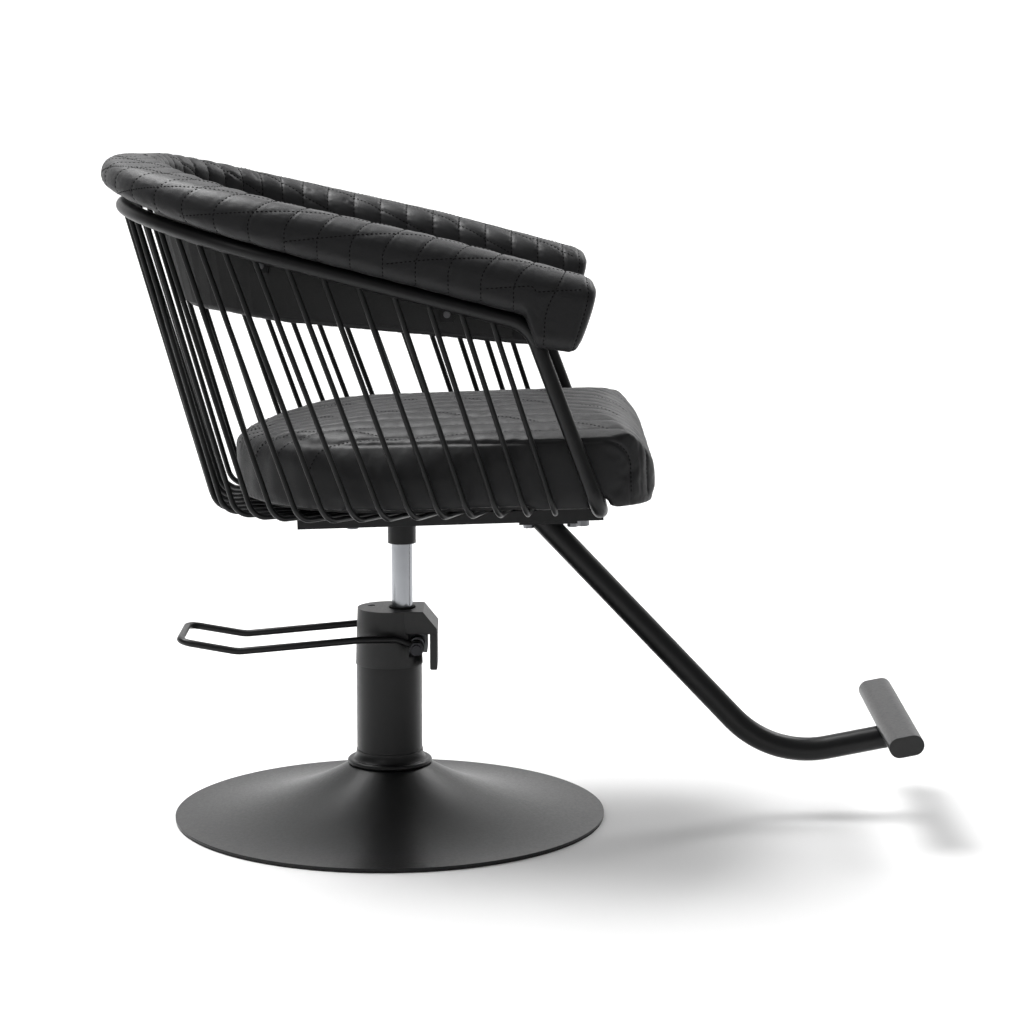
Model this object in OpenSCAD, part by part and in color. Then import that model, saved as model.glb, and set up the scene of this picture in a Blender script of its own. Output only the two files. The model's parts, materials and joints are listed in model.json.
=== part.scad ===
// Hydraulic styling chair with a wire cage tub seat and a fixed foot rest.
// Origin: centre of the round base on the floor. +X is the way the sitter faces,
// +Y is the sitter's left, +Z is up. Millimetres.

/* [Base] */
// Diameter of the round base
base_d = 584; // [540:1:620]
// Height of the base's rim above the floor
rim_h = 6; // [5:0.5:8]
// Height of the dome where the column comes out
dome_h = 73; // [65:1:85]
// Thickness of the pressed dome
dome_t = 3; // [2:0.5:4]
// Thickness of the steel weight plate inside the base
plate_t = 8; // [6:0.5:9]

/* [Column and pump] */
// Outer diameter of the column sleeve
sleeve_d = 88.9; // [86:0.1:92]
// Height of the seam between the sleeve and the head cover
seam_z = 212; // [205:1:220]
// Height of the top of the head cover
head_z = 288.5; // [286:0.5:296]
// Front face of the head cover's nose
nose_x = 66; // [62:1:68]
// Half width of the head cover's nose
nose_y = 37; // [34:1:38]
// Diameter of the ram
ram_d = 28.6; // [25:0.1:29]
// Distance of the ram's axis in front of the column's axis
ram_x = 18; // [17:0.5:18]
// Radial clearance of the running fits
fit = 0.05; // [0.02:0.01:0.09]

/* [Foot lever] */
// Diameter of the lever's bent rod
lever_d = 9.5; // [8:0.5:10]
// Distance of the lever's rods from the middle plane
lever_y = 60; // [58:0.5:62]
// Distance of the lever's loop behind the column's axis
lever_reach = 278; // [240:1:285]
// Lever shaft, in front of the column's axis
shaft_x = 39; // [38:0.5:40]
// Lever shaft height
shaft_z = 243; // [240:1:245]

/* [Seat frame] */
// Rake of the seat, front up
seat_rake = 1.8; // [0:0.1:4]
// Underside of the seat rails above the floor, at the hub
rail_z = 423.5; // [420:0.5:430]
// Width of each seat rail
rail_w = 35; // [30:1:40]
// Height of each seat rail
rail_h = 15.5; // [15:0.5:16]
// Outer face of each seat rail from the middle plane
rail_y = 150; // [140:1:160]
// Rear end of the seat rails
rail_x0 = -111; // [-120:1:-100]
// Front end of the seat rails
rail_x1 = 286; // [280:1:290]

/* [Cage] */
// Diameter of the main bent tube
tube_d = 20; // [18:0.5:20]
// Wall of the bent tubes
tube_t = 2; // [1.5:0.1:2.5]
// Half width of the top rail, to the tube's centre
cage_y = 255; // [252:1:262]
// Rearmost point of the top rail's centre line
cage_x0 = -343; // [-350:1:-335]
// Height of the top rail at its rear
cage_z0 = 834; // [820:1:845]
// Fall of the top rail towards the front
cage_fall = 14.55; // [12:0.05:15]
// Radius of the top rail's two rear bends
cage_r = 235; // [220:1:245]
// Diameter of the cage wires
wire_d = 7; // [6:0.5:7]
// Gaps between wires on each side, from the front wire to the middle of the back
wire_gaps = 17; // [15:1:17]

/* [Soft parts] */
// Half width of the seat cushion
cushion_y = 238; // [225:1:239]
// Rear of the seat cushion
cushion_x0 = -197; // [-205:1:-185]
// Front of the seat cushion
cushion_x1 = 352; // [340:1:358]
// Underside of the seat cushion's border, in the seat's own frame
cushion_z0 = 457; // [453:0.5:457]
// Crown of the seat cushion, in the seat's own frame
cushion_z1 = 569; // [560:1:580]
// Front tip of each arm pad
pad_x1 = 270; // [262:1:275]
// Height of the pad's roll above the top rail's centre
roll_top = 78; // [70:1:84]
// Depth of the roll outside the top rail's centre
roll_out = 28; // [22:1:30]
// Inner face of the pad inside the top rail's centre
pad_in = 54; // [48:1:62]

/* [Foot rest] */
// Diameter of the foot rest tube
rest_d = 32; // [30:0.5:34]
// Radius of the foot rest tube's bend
rest_r = 140; // [120:1:150]
// Length of the foot bar
bar_l = 350; // [320:1:380]
// Long side of the foot bar's section
bar_w = 46; // [40:1:50]
// Short side of the foot bar's section
bar_h = 27; // [24:1:30]

/* [Hidden] */
$fn = 64;
EPS = 0.5;
// How far a bent bar's straights run into its bends, and how proud the bends stand
lap = 0.6;
proud = 0.03;

black = "#17181a";
vinyl = "#242427";
steel = "#b8babd";
chrome = "#dcdfe3";
rubber = "#101010";

// Base: the dome's outer line is one arc, level at the rim
base_r = base_d / 2;
pad_t = 3;
crest_r = 57;
dome_run = base_r - crest_r;
dome_rise = dome_h - rim_h;
dome_r = (dome_run * dome_run + dome_rise * dome_rise) / (2 * dome_rise);
weight_r = 250;
flange_r = 75;
flange_t = 8;
flange_z = pad_t + plate_t;
bolt_ring_r = 60;
sleeve_t = 2;
sleeve_z0 = flange_z + flange_t;
trim_r = 57.5;
trim_edge = 4;
trim_h = 20;
flare_r = 16;

// Pump
liner_z0 = flange_z + flange_t;
liner_ro = 20;
liner_ri = 18;
cover_t = 2.5;
casting_r = 39.5;
casting_z0 = 186;
casting_z1 = head_z - cover_t;
bush_z0 = 262;
bush_ro = 18;
wiper_t = 3;
cover_r0 = 45.5;
cover_r1 = 42.5;
nose_z = 258;
nose_back = 5;
chamfer = 19;
tail_t = 10;
tail_z = 208;
window_x = 28;
window_z = 226;
lug_x1 = 52;
lug_y = 33;
lug_z0 = 229;
lug_z1 = 256;
shaft_d = 12;
shaft_l = 134;
eye_d = 20;
eye_t = 9.5;
nut_af = 17;
nut_t = 8;
plunger_x = 20;
plunger_y = -24;
plunger_d = 10;
stem_d = 6;
collar_d = 13;
collar_z = 229;
collar_t = 3;
pocket_d = 14;
pocket_z = 214;
bore_z = 190;
rocker_y0 = -33;
rocker_w = 17;
arm_h = 8;
slot_gap = 0.5;
stem_top = shaft_z - arm_h / 2 - 0.35;
eye_y = 51;

// Ram
ram_r = ram_d / 2;
ram_z0 = 30;
ram_z1 = 379;
spigot_d = 22;
spigot_z1 = 410;
piston_z0 = 23;
piston_h = 26;
seal_w = 5;
bearing_t = 4;
hub_z0 = 377;
hub_d = 38;
hub_bore_d = 26;
pocket_hub_d = 34.4;

// Seat frame: everything in this frame is raked about the top of the hub
rake_z = 400;
rail_top = rail_z + rail_h;
rail_mid = rail_y - rail_w / 2;
rail_t = 2;
plate_x0 = -62;
plate_x1 = 98;
plate_y = 85;
seat_plate_t = 6;
bar_xs = [rail_x0 + 15, -42, 78, 189, 248];
bar_x_w = 26;
wire_z = rail_top + wire_d / 2;
foot_x = 280;
foot_y = 252;
stub_y = 118;
foot_r = 30;
corner_r = 48;
leg_lean = 20.6;
wire_rise = 6;
board_z0 = rail_top + wire_d + wire_rise + 0.5;
board_t = 12;
board_inset = 18;
stub_x0 = foot_x - tube_d / 2 - 3;
stub_x1 = foot_x + tube_d / 2 + 1.5;
front_bolt_x = foot_x - 20;
rear_bolt_x = -42;
rear_bolt_y = 70;

// The point that a seat frame point has in the chair's frame
function raked(p) = [
    ram_x + (p.x - ram_x) * cos(seat_rake) - (p.z - rake_z) * sin(seat_rake),
    p.y,
    rake_z + (p.x - ram_x) * sin(seat_rake) + (p.z - rake_z) * cos(seat_rake)
];

// Top rail: a flat horseshoe in a plane that falls towards the front
function rail_height(x) = cage_z0 - (x - cage_x0) * tan(cage_fall);
foot_point = raked([foot_x, foot_y, rail_top + tube_d / 2]);
lean = tan(leg_lean);
corner_x = (foot_point.x + lean * (foot_point.z - rail_height(0))) / (1 - lean * tan(cage_fall));
corner_z = rail_height(corner_x);
cage_flat = cage_y - cage_r;
arc_len = cage_r * PI / 2;
first_wire_x = 139;
arm_len = (first_wire_x - cage_x0) / cos(cage_fall) - cage_r;
half_len = arm_len + arc_len + cage_flat;
wire_bow = 41;

// Plan of the horseshoe by the distance s from the first wire: along, across, outward normal
function plan(s) =
    s < arm_len ? [cage_r + arm_len - s, cage_y, 0, 1]
    : s < arm_len + arc_len
    ? let (a = 90 * (s - arm_len) / arc_len)
      [cage_r * (1 - sin(a)), cage_flat + cage_r * cos(a), -sin(a), cos(a)]
    : [0, half_len - s, -1, 0];
function rail_point(s) = [
    cage_x0 + plan(s)[0] * cos(cage_fall), plan(s)[1], cage_z0 - plan(s)[0] * sin(cage_fall)
];

// Feet of the wires: evenly round a smaller horseshoe, and their ends evenly round the frame
base_x0 = -224;
base_y = 252;
base_bend = 192;
first_foot_x = 223;
base_arm = first_foot_x - base_x0 - base_bend;
base_arc = base_bend * PI / 2;
base_len = base_arm + base_arc + base_y - base_bend;
function base_point(s) =
    s < base_arm ? [first_foot_x - s, base_y, wire_z + wire_rise]
    : s < base_arm + base_arc
    ? let (a = 90 * (s - base_arm) / base_arc)
      [base_x0 + base_bend * (1 - sin(a)), base_y - base_bend * (1 - cos(a)),
       wire_z + wire_rise]
    : [base_x0, base_len - s, wire_z + wire_rise];
end_y = rail_y - rail_w / 2;
end_x = rail_x0 + 14;
end_run = first_foot_x - end_x;
function end_point(s) =
    s < end_run ? [first_foot_x - s, end_y, wire_z] : [end_x, end_run + end_y - s, wire_z];
end_len = end_run + end_y;
wire_bend = 25;

// Pad: height of its lower edge, of the roll's top and of the roll's underside
pad_low_z = 662;
pad_low_x = 245;
pad_low_slope = 0.092;
pad_low_max = 706;
roll_gap = 11;
roll_gap_rear = 24;
lean_back = 0.3;
hang_from = 35;
face_in = 26;
pad_board_t = 7.5;
tab_w = 18;
function pad_low(x) = min(pad_low_max, pad_low_z + pad_low_slope * (pad_low_x - x));
function pad_top(x) = rail_height(x) + roll_top - 16 * max(0, min(1, (60 - x) / 400));
function leg_front(x) = corner_z + (corner_x + 16 - x) / lean;
function gap_over_rail(x) =
    roll_gap + (roll_gap_rear - roll_gap) * pow(max(0, x / cage_x0), 3);
function roll_low(x) =
    max(pad_low(x) + 2, min(rail_height(x) + gap_over_rail(x), leg_front(x)));

// Foot rest tube: from the plate down to the bend, then up to the bar
rest_top = [216, 0, 399];
rest_corner = [520, 0, 79];
rest_end = [690, 0, 112.5];
rest_rise = atan2(rest_end.z - rest_corner.z, rest_end.x - rest_corner.x);
bar_x = 681;
bar_z = 107 + rest_d / 2 / cos(rest_rise) + bar_h / 2;
bracket_h = 18;
bracket_x0 = 176;
bracket_l = 85;
bracket_y = 25;
rest_plate_t = 6;
rest_bolt_y = 15;

function unit(v) = v / norm(v);
function turn(a, b, c) = acos(max(-1, min(1, unit(b - a) * unit(c - b))));

// ---------------------------------------------------------------- shared shapes

// Straight round bar from a to b
module bar(a, b, d) {
    v = b - a;
    translate(a)
        rotate([0, acos(v.z / norm(v)), atan2(v.y, v.x)])
            cylinder(d = d, h = norm(v));
}

// Bend of radius r at b, on the way from a to c; its skin stands a hair proud of the bars
module elbow(a, b, c, r, d) {
    u = unit(b - a);
    n = unit(cross(u, unit(c - b)));
    inward = cross(n, u);
    angle = turn(a, b, c);
    o = b - u * r * tan(angle / 2) + inward * r;
    multmatrix([
        [-inward.x, u.x, n.x, o.x],
        [-inward.y, u.y, n.y, o.y],
        [-inward.z, u.z, n.z, o.z],
        [0, 0, 0, 1]
    ])
        rotate_extrude(angle = angle)
            translate([r, 0])
                circle(d = d + 2 * proud);
}

// Round bar through the points p, with a bend of radius r[i] at each inner point
module bent_bar(p, r, d) {
    last = len(p) - 1;
    cut = [for (i = [0:last])
        i == 0 || i == last ? 0 : r[i] * tan(turn(p[i - 1], p[i], p[i + 1]) / 2)];
    for (i = [0:last - 1]) {
        along = unit(p[i + 1] - p[i]);
        a = cut[i] > 0 ? cut[i] - lap : 0;
        b = cut[i + 1] > 0 ? cut[i + 1] - lap : 0;
        bar(p[i] + along * a, p[i + 1] - along * b, d);
    }
    for (i = [1:last - 1])
        elbow(p[i - 1], p[i], p[i + 1], r[i], d);
}

// Tube with open ends through the points p
module bent_tube(p, r, d, t) {
    last = len(p) - 1;
    open = [for (i = [0:last])
        i == 0 ? p[0] + unit(p[0] - p[1])
        : i == last ? p[last] + unit(p[last] - p[last - 1])
        : p[i]];
    difference() {
        bent_bar(p, r, d);
        bent_bar(open, r, d - 2 * t);
    }
}

module ring(ro, ri, h) {
    difference() {
        cylinder(r = ro, h = h);
        translate([0, 0, -EPS])
            cylinder(r = ri, h = h + 2 * EPS);
    }
}

// Hexagon bolt: head on top of z = 0, shank below
module hex_bolt(d, af, head_h, shank_l) {
    cylinder(d = af / cos(30), h = head_h, $fn = 6);
    translate([0, 0, -shank_l])
        cylinder(d = d, h = shank_l + head_h / 2, $fn = 32);
}

// Rounded rectangle from [x0, y0] to [x1, y1] with radius r
module rounded_rect(x0, y0, x1, y1, r) {
    translate([x0 + r, y0])
        square([x1 - x0 - 2 * r, y1 - y0]);
    translate([x0, y0 + r])
        square([x1 - x0, y1 - y0 - 2 * r]);
    for (x = [x0 + r, x1 - r])
        for (y = [y0 + r, y1 - r])
            translate([x, y])
                circle(r = r);
}

module box(x0, x1, y0, y1, z0, z1) {
    translate([x0, y0, z0])
        cube([x1 - x0, y1 - y0, z1 - z0]);
}

// Puts children from the seat's own frame into the chair's frame
module seat() {
    translate([ram_x, 0, rake_z])
        rotate([0, -seat_rake, 0])
            translate([-ram_x, 0, -rake_z])
                children();
}

module on_ram() {
    translate([ram_x, 0, 0])
        children();
}

// Closed skin over a list of equal rings of points
module skin(rings) {
    m = len(rings[0]);
    n = len(rings);
    points = [for (q = rings) each q];
    sides = [for (i = [0:n - 2], j = [0:m - 1])
        [i * m + j, i * m + (j + 1) % m, (i + 1) * m + (j + 1) % m, (i + 1) * m + j]];
    split = [for (f = sides) each [[f[0], f[1], f[2]], [f[0], f[2], f[3]]]];
    first = [for (j = [m - 1:-1:0]) j];
    end = [for (j = [0:m - 1]) (n - 1) * m + j];
    polyhedron(points, concat([first], split, [end]));
}

// ---------------------------------------------------------------- base

module floor_pad() {
    color(rubber)
        cylinder(r = base_r - 1, h = pad_t, $fn = 128);
}

// Plan-revolved line of the dome: the outer arc, lowered by t
module dome_line(t) {
    difference() {
        translate([0, 0])
            square([base_r, dome_h + rim_h]);
        translate([base_r, rim_h + dome_r])
            circle(r = dome_r + t, $fn = 360);
        translate([0, dome_h - t])
            square([crest_r + EPS, dome_h]);
    }
}

module base_shell() {
    color(black)
        rotate_extrude($fn = 180)
            difference() {
                intersection() {
                    dome_line(0);
                    translate([sleeve_d / 2 + 1, pad_t])
                        square([base_r, dome_h - pad_t]);
                }
                dome_line(dome_t);
            }
}

module base_plate() {
    color(steel)
        difference() {
            rotate_extrude($fn = 128)
                intersection() {
                    translate([0, pad_t])
                        square([weight_r, plate_t]);
                    dome_line(dome_t + 0.1);
                }
            for (a = [45:90:315])
                rotate(a)
                    translate([bolt_ring_r, 0, pad_t + 1])
                        cylinder(d = 12, h = plate_t, $fn = 32);
        }
}

module pump_flange() {
    color(steel)
        translate([0, 0, flange_z])
            difference() {
                cylinder(r = flange_r, h = flange_t);
                for (a = [45:90:315])
                    rotate(a)
                        translate([bolt_ring_r, 0, -EPS])
                            cylinder(d = 12.6, h = flange_t + 1, $fn = 32);
            }
}

module base_bolts() {
    color(steel)
        for (a = [45:90:315])
            rotate(a)
                translate([bolt_ring_r, 0, flange_z + flange_t])
                    hex_bolt(12, 18, 7.5, flange_t + plate_t - 2);
}

module reservoir_tube() {
    color(steel)
        translate([0, 0, liner_z0])
            ring(sleeve_d / 2 - sleeve_t - 1, 39, casting_z0 - liner_z0);
}

module column_sleeve() {
    color(black)
        translate([0, 0, sleeve_z0])
            ring(sleeve_d / 2, sleeve_d / 2 - sleeve_t, seam_z - sleeve_z0);
}

module trim_ring() {
    color(black)
        rotate_extrude()
            translate([0, dome_h]) {
                translate([sleeve_d / 2 + 0.05, 0])
                    square([trim_r - trim_edge - sleeve_d / 2 - 0.05, 2 * trim_edge]);
                translate([trim_r - trim_edge, trim_edge])
                    circle(r = trim_edge);
                difference() {
                    translate([sleeve_d / 2 + 0.05, trim_edge])
                        square([trim_r - sleeve_d / 2 - 3, trim_h - trim_edge]);
                    translate([sleeve_d / 2 + flare_r + 0.8, trim_h - 1])
                        circle(r = flare_r);
                    translate([sleeve_d / 2 + 7, trim_edge + 8])
                        square([20, trim_h]);
                }
            }
}

// ---------------------------------------------------------------- pump

module cylinder_liner() {
    color(steel)
        on_ram()
            translate([0, 0, liner_z0])
                ring(liner_ro, liner_ri, casting_z0 - liner_z0);
}

module pump_head() {
    color("#3a3c40")
        difference() {
            union() {
                translate([0, 0, casting_z0])
                    cylinder(r = casting_r, h = casting_z1 - casting_z0);
                box(0, lug_x1, -lug_y, lug_y, lug_z0, lug_z1);
            }
            // Way of the ram, and the seats of its bush and wiper
            on_ram()
                translate([0, 0, casting_z0 - EPS])
                    cylinder(r = ram_r + 0.7, h = 200);
            on_ram()
                translate([0, 0, bush_z0])
                    cylinder(r = bush_ro, h = 200);
            // Plunger bore, spring pocket and the slot of the rocker
            translate([plunger_x, plunger_y, bore_z])
                cylinder(r = plunger_d / 2 + fit, h = 100);
            translate([plunger_x, plunger_y, pocket_z])
                cylinder(d = pocket_d, h = 100);
            box(plunger_x - pocket_d / 2, lug_x1 + 1, rocker_y0 - slot_gap,
                rocker_y0 + rocker_w + slot_gap, lug_z0 - 3, bush_z0 - 2);
            // Bore of the lever shaft
            translate([shaft_x, -lug_y - 1, shaft_z])
                rotate([-90, 0, 0])
                    cylinder(d = shaft_d + 2 * fit, h = 2 * lug_y + 2);
        }
}

// Side view of the cover's nose and tail
module nose_side(grow) {
    polygon([
        [nose_back, nose_z - grow], [nose_back, head_z + grow],
        [nose_x - chamfer + grow / 2, head_z + grow], [nose_x + grow, head_z - chamfer * 1.25 + grow / 2],
        [nose_x + grow, nose_z - grow]
    ]);
}

module head_cover() {
    color(black)
        difference() {
            union() {
                translate([0, 0, seam_z])
                    cylinder(r1 = cover_r0, r2 = cover_r1, h = head_z - seam_z);
                translate([0, nose_y, 0])
                    rotate([90, 0, 0])
                        linear_extrude(2 * nose_y)
                            nose_side(0);
                translate([0, nose_y - 6, 0])
                    rotate([90, 0, 0])
                        linear_extrude(2 * nose_y - 12)
                            rounded_rect(nose_x - tail_t, tail_z, nose_x, nose_z + 8, 2.5);
            }
            // Room for the casting
            translate([0, 0, seam_z - EPS])
                cylinder(r = casting_r + 0.2, h = head_z - cover_t - seam_z + EPS);
            // Room inside the nose
            translate([0, nose_y - cover_t, 0])
                rotate([90, 0, 0])
                    linear_extrude(2 * (nose_y - cover_t))
                        polygon([
                            [0, nose_z - 30], [0, head_z - cover_t],
                            [nose_x - chamfer - 2, head_z - cover_t],
                            [nose_x - tail_t, nose_z + 12], [nose_x - tail_t, nose_z - 30]
                        ]);
            // Window for the lever shaft and the casting's lug
            box(window_x, nose_x - tail_t, -nose_y - 20, nose_y + 20, window_z, nose_z);
            // Hole of the ram
            on_ram()
                translate([0, 0, head_z - 10])
                    cylinder(r = bush_ro + 0.5, h = 20);
            // Recess of the filler screw
            translate([-24, 10, head_z - 10])
                cylinder(d = 10, h = 20, $fn = 32);
        }
}

module filler_screw() {
    color(steel)
        difference() {
            translate([-24, 10, casting_z1])
                cylinder(d = 9, h = 1.6, $fn = 32);
            translate([-24, 10, casting_z1 + 0.6])
                cylinder(d = 5, h = 5, $fn = 6);
        }
}

module guide_bush() {
    color("#a98550")
        on_ram()
            translate([0, 0, bush_z0])
                ring(bush_ro, ram_r + fit, casting_z1 - bush_z0);
}

module wiper_seal() {
    color(rubber)
        on_ram()
            translate([0, 0, casting_z1])
                ring(bush_ro - 0.5, ram_r + fit, wiper_t + 1.2);
}

// ---------------------------------------------------------------- lever and plunger

lever_points = [
    [shaft_x - 8.5, eye_y, shaft_z + 4],
    [12, eye_y + 3, shaft_z + 11.5],
    [-35, lever_y, shaft_z + 12],
    [-200, lever_y, shaft_z - 3.5],
    [-lever_reach, lever_y - 1, shaft_z + 10]
];

module foot_lever() {
    color(black) {
        half = [for (i = [len(lever_points) - 1:-1:0]) lever_points[i]];
        left = [for (p = lever_points) p];
        right = [for (p = half) [p.x, -p.y, p.z]];
        bent_bar(concat(left, right), [0, 25, 60, 60, 18, 18, 60, 60, 25, 0], lever_d);
        for (s = [-1, 1])
            translate([shaft_x, s * eye_y, shaft_z])
                rotate([90, 0, 0])
                    difference() {
                        cylinder(d = eye_d, h = eye_t, center = true);
                        cylinder(d = shaft_d, h = eye_t + 1, center = true);
                    }
    }
}

module lever_shaft() {
    color(steel)
        translate([shaft_x, 0, shaft_z])
            rotate([90, 0, 0])
                cylinder(d = shaft_d, h = shaft_l, center = true);
}

module rocker() {
    color("#3a3c40")
        translate([shaft_x, rocker_y0, shaft_z])
            rotate([-90, 0, 0])
                difference() {
                    union() {
                        cylinder(d = eye_d, h = rocker_w);
                        translate([plunger_x - shaft_x - 3, -arm_h / 2, 0])
                            cube([shaft_x - plunger_x + 3, arm_h, rocker_w]);
                    }
                    translate([0, 0, -EPS])
                        cylinder(d = shaft_d, h = rocker_w + 1);
                }
}

module lever_nuts() {
    color(black)
        for (s = [-1, 1])
            translate([shaft_x, s * (eye_y + (eye_t + nut_t) / 2), shaft_z])
                rotate([90, 0, 0])
                    difference() {
                        cylinder(d = nut_af / cos(30), h = nut_t, center = true, $fn = 6);
                        cylinder(d = shaft_d, h = nut_t + 1, center = true);
                    }
}

module pump_plunger() {
    color(steel)
        translate([plunger_x, plunger_y, 0]) {
            translate([0, 0, bore_z + 11])
                cylinder(d = plunger_d, h = pocket_z - bore_z - 11);
            translate([0, 0, pocket_z])
                cylinder(d = stem_d, h = stem_top - stem_d / 2 - pocket_z);
            translate([0, 0, stem_top - stem_d / 2])
                sphere(d = stem_d + 0.02);
            translate([0, 0, collar_z])
                cylinder(d = collar_d, h = collar_t);
        }
}

module plunger_spring() {
    spring_d = 10.4;
    spring_wire = 1.6;
    turns = 3.5;
    steps = 16;
    sides = 8;
    z0 = pocket_z + spring_wire / 2 + 0.1;
    z1 = collar_z - spring_wire / 2 - 0.1;
    n = turns * steps;
    color(steel)
        translate([plunger_x, plunger_y, 0])
            skin([for (i = [0:n])
                let (a = 360 * i / steps, z = z0 + (z1 - z0) * i / n)
                [for (j = [0:sides - 1])
                    let (b = -360 * j / sides, r = spring_d / 2 + cos(b) * spring_wire / 2)
                    [r * cos(a), r * sin(a), z + sin(b) * spring_wire / 2]]]);
}

// ---------------------------------------------------------------- ram

module ram_rod() {
    color(chrome)
        on_ram() {
            translate([0, 0, ram_z0])
                cylinder(d = ram_d, h = ram_z1 - ram_z0);
            translate([0, 0, ram_z1])
                cylinder(d = spigot_d, h = spigot_z1 - ram_z1);
        }
}

module piston_head() {
    color(steel)
        on_ram()
            difference() {
                translate([0, 0, piston_z0])
                    cylinder(r = liner_ri - fit, h = piston_h);
                translate([0, 0, ram_z0])
                    cylinder(d = ram_d, h = piston_h);
                translate([0, 0, piston_z0 + 4])
                    ring(liner_ri + 1, ram_r + 0.7, seal_w);
            }
}

module piston_seal() {
    color(rubber)
        on_ram()
            translate([0, 0, piston_z0 + 4])
                ring(liner_ri - fit / 2, ram_r + 0.7, seal_w);
}

module thrust_bearing() {
    color(chrome)
        on_ram()
            translate([0, 0, ram_z1])
                ring(16.5, spigot_d / 2, bearing_t);
}

// ---------------------------------------------------------------- seat frame

module seat_hub() {
    color(black)
        difference() {
            on_ram()
                translate([0, 0, hub_z0])
                    cylinder(d = hub_d, h = 60);
            on_ram()
                translate([0, 0, hub_z0 - EPS])
                    cylinder(d = pocket_hub_d, h = ram_z1 + bearing_t + 0.3 - hub_z0 + EPS);
            on_ram()
                translate([0, 0, hub_z0])
                    cylinder(d = hub_bore_d, h = 80);
            seat()
                box(-60, 100, -50, 50, rail_z - seat_plate_t, rail_z + 60);
        }
}

module hub_bush() {
    color("#a98550")
        on_ram()
            translate([0, 0, ram_z1 + bearing_t + 0.3])
                ring(hub_bore_d / 2, spigot_d / 2 + fit, spigot_z1 - ram_z1 - bearing_t);
}

module seat_plate() {
    color(black)
        seat()
            difference() {
                box(plate_x0, plate_x1, -plate_y, plate_y, rail_z - seat_plate_t, rail_z);
                for (x = [bar_xs[1], bar_xs[2]])
                    for (s = [-1, 1])
                        translate([x, s * (plate_y - 20), rail_z - seat_plate_t - EPS])
                            cylinder(d = 8.6, h = seat_plate_t + 1, $fn = 32);
            }
}

module plate_bolts() {
    color(steel)
        seat()
            for (x = [bar_xs[1], bar_xs[2]])
                for (s = [-1, 1])
                    translate([x, s * (plate_y - 20), rail_z - seat_plate_t])
                        rotate([180, 0, 0])
                            hex_bolt(8, 13, 5.3, seat_plate_t + rail_h - 3);
}

// One seat rail, with a hole for the cushion's front bolt
module rail(s) {
    color(black)
        seat()
            difference() {
                box(rail_x0, rail_x1, s * rail_mid - rail_w / 2, s * rail_mid + rail_w / 2,
                    rail_z, rail_top);
                box(rail_x0 - 1, rail_x1 + 1, s * rail_mid - rail_w / 2 + rail_t,
                    s * rail_mid + rail_w / 2 - rail_t, rail_z + rail_t, rail_top - rail_t);
                translate([front_bolt_x, s * rail_mid, rail_z - 1])
                    cylinder(d = 8.6, h = rail_h + 2, $fn = 32);
            }
}

module rail_left() { rail(1); }

module rail_right() { rail(-1); }

module cross_bars() {
    color(black)
        seat()
            difference() {
                for (x = bar_xs)
                    box(x - bar_x_w / 2, x + bar_x_w / 2, -rail_y + rail_w, rail_y - rail_w,
                        rail_z, rail_top);
                for (x = [bar_xs[1], bar_xs[2]])
                    for (s = [-1, 1])
                        translate([x, s * (plate_y - 20), rail_z - 1])
                            cylinder(d = 8, h = rail_h - 1, $fn = 32);
                for (x = [bar_xs[3], bar_xs[4]])
                    for (s = [-1, 1])
                        translate([x, s * rest_bolt_y, rail_z - 1])
                            cylinder(d = 8, h = rail_h - 1, $fn = 32);
                for (s = [-1, 1])
                    translate([rear_bolt_x, s * (rear_bolt_y + 30), rail_z - 1])
                        cylinder(d = 8.6, h = rail_h + 2, $fn = 32);
            }
}

module rail_caps() {
    color(rubber)
        seat()
            for (s = [-1, 1])
                for (x = [rail_x0, rail_x1 - 8])
                    box(x, x + 8, s * rail_mid - rail_w / 2 + rail_t,
                        s * rail_mid + rail_w / 2 - rail_t, rail_z + rail_t, rail_top - rail_t);
}

// ---------------------------------------------------------------- cage

module frame_tube() {
    left = [
        raked([foot_x, stub_y, rail_top + tube_d / 2]),
        foot_point,
        [corner_x, cage_y, corner_z],
        [cage_x0, cage_y, cage_z0]
    ];
    right = [for (i = [len(left) - 1:-1:0]) [left[i].x, -left[i].y, left[i].z]];
    color(black)
        bent_tube(concat(left, right),
            [0, foot_r, corner_r, cage_r, cage_r, corner_r, foot_r, 0], tube_d, tube_t);
}

// Wire number i from the front, on side s; the middle wire of the back is wire_gaps
module wire(i, s) {
    t = i / wire_gaps;
    top = rail_point(half_len * t + wire_bow * pow(sin(180 * t), 2));
    foot = raked(base_point(base_len * t));
    tip = raked(end_point(end_len * t));
    start = top + unit(foot - top) * (tube_d / 2 - 1);
    bent_bar([for (p = [start, foot, tip]) [p.x, s * p.y, p.z]], [0, wire_bend, 0], wire_d);
}

side_wires = 10;

module wires_left() {
    color(black)
        for (i = [0:side_wires])
            wire(i, 1, $fn = 24);
}

module wires_right() {
    color(black)
        for (i = [0:side_wires])
            wire(i, -1, $fn = 24);
}

module wires_rear() {
    color(black) {
        for (s = [-1, 1])
            for (i = [side_wires + 1:wire_gaps - 1])
                wire(i, s, $fn = 24);
        wire(wire_gaps, 1, $fn = 24);
    }
}

// ---------------------------------------------------------------- seat

crown_x = 130;
long_r = 1500;
front_drop = 7;
cross_r = 1150;
front_r = 80;
under_r = 24.5;
edge_r = 26;

// Plan of the seat, drawn in by the given amount: round behind, square with round corners ahead
module seat_plan(inset) {
    r = cushion_y - inset;
    corner = 72 - inset;
    translate([cushion_x0 + cushion_y, 0])
        circle(r = r, $fn = 180);
    rounded_rect(cushion_x0 + cushion_y, -r, cushion_x1 - inset, r, corner);
    translate([cushion_x0 + cushion_y, -r])
        square([corner, 2 * r]);
}

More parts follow.
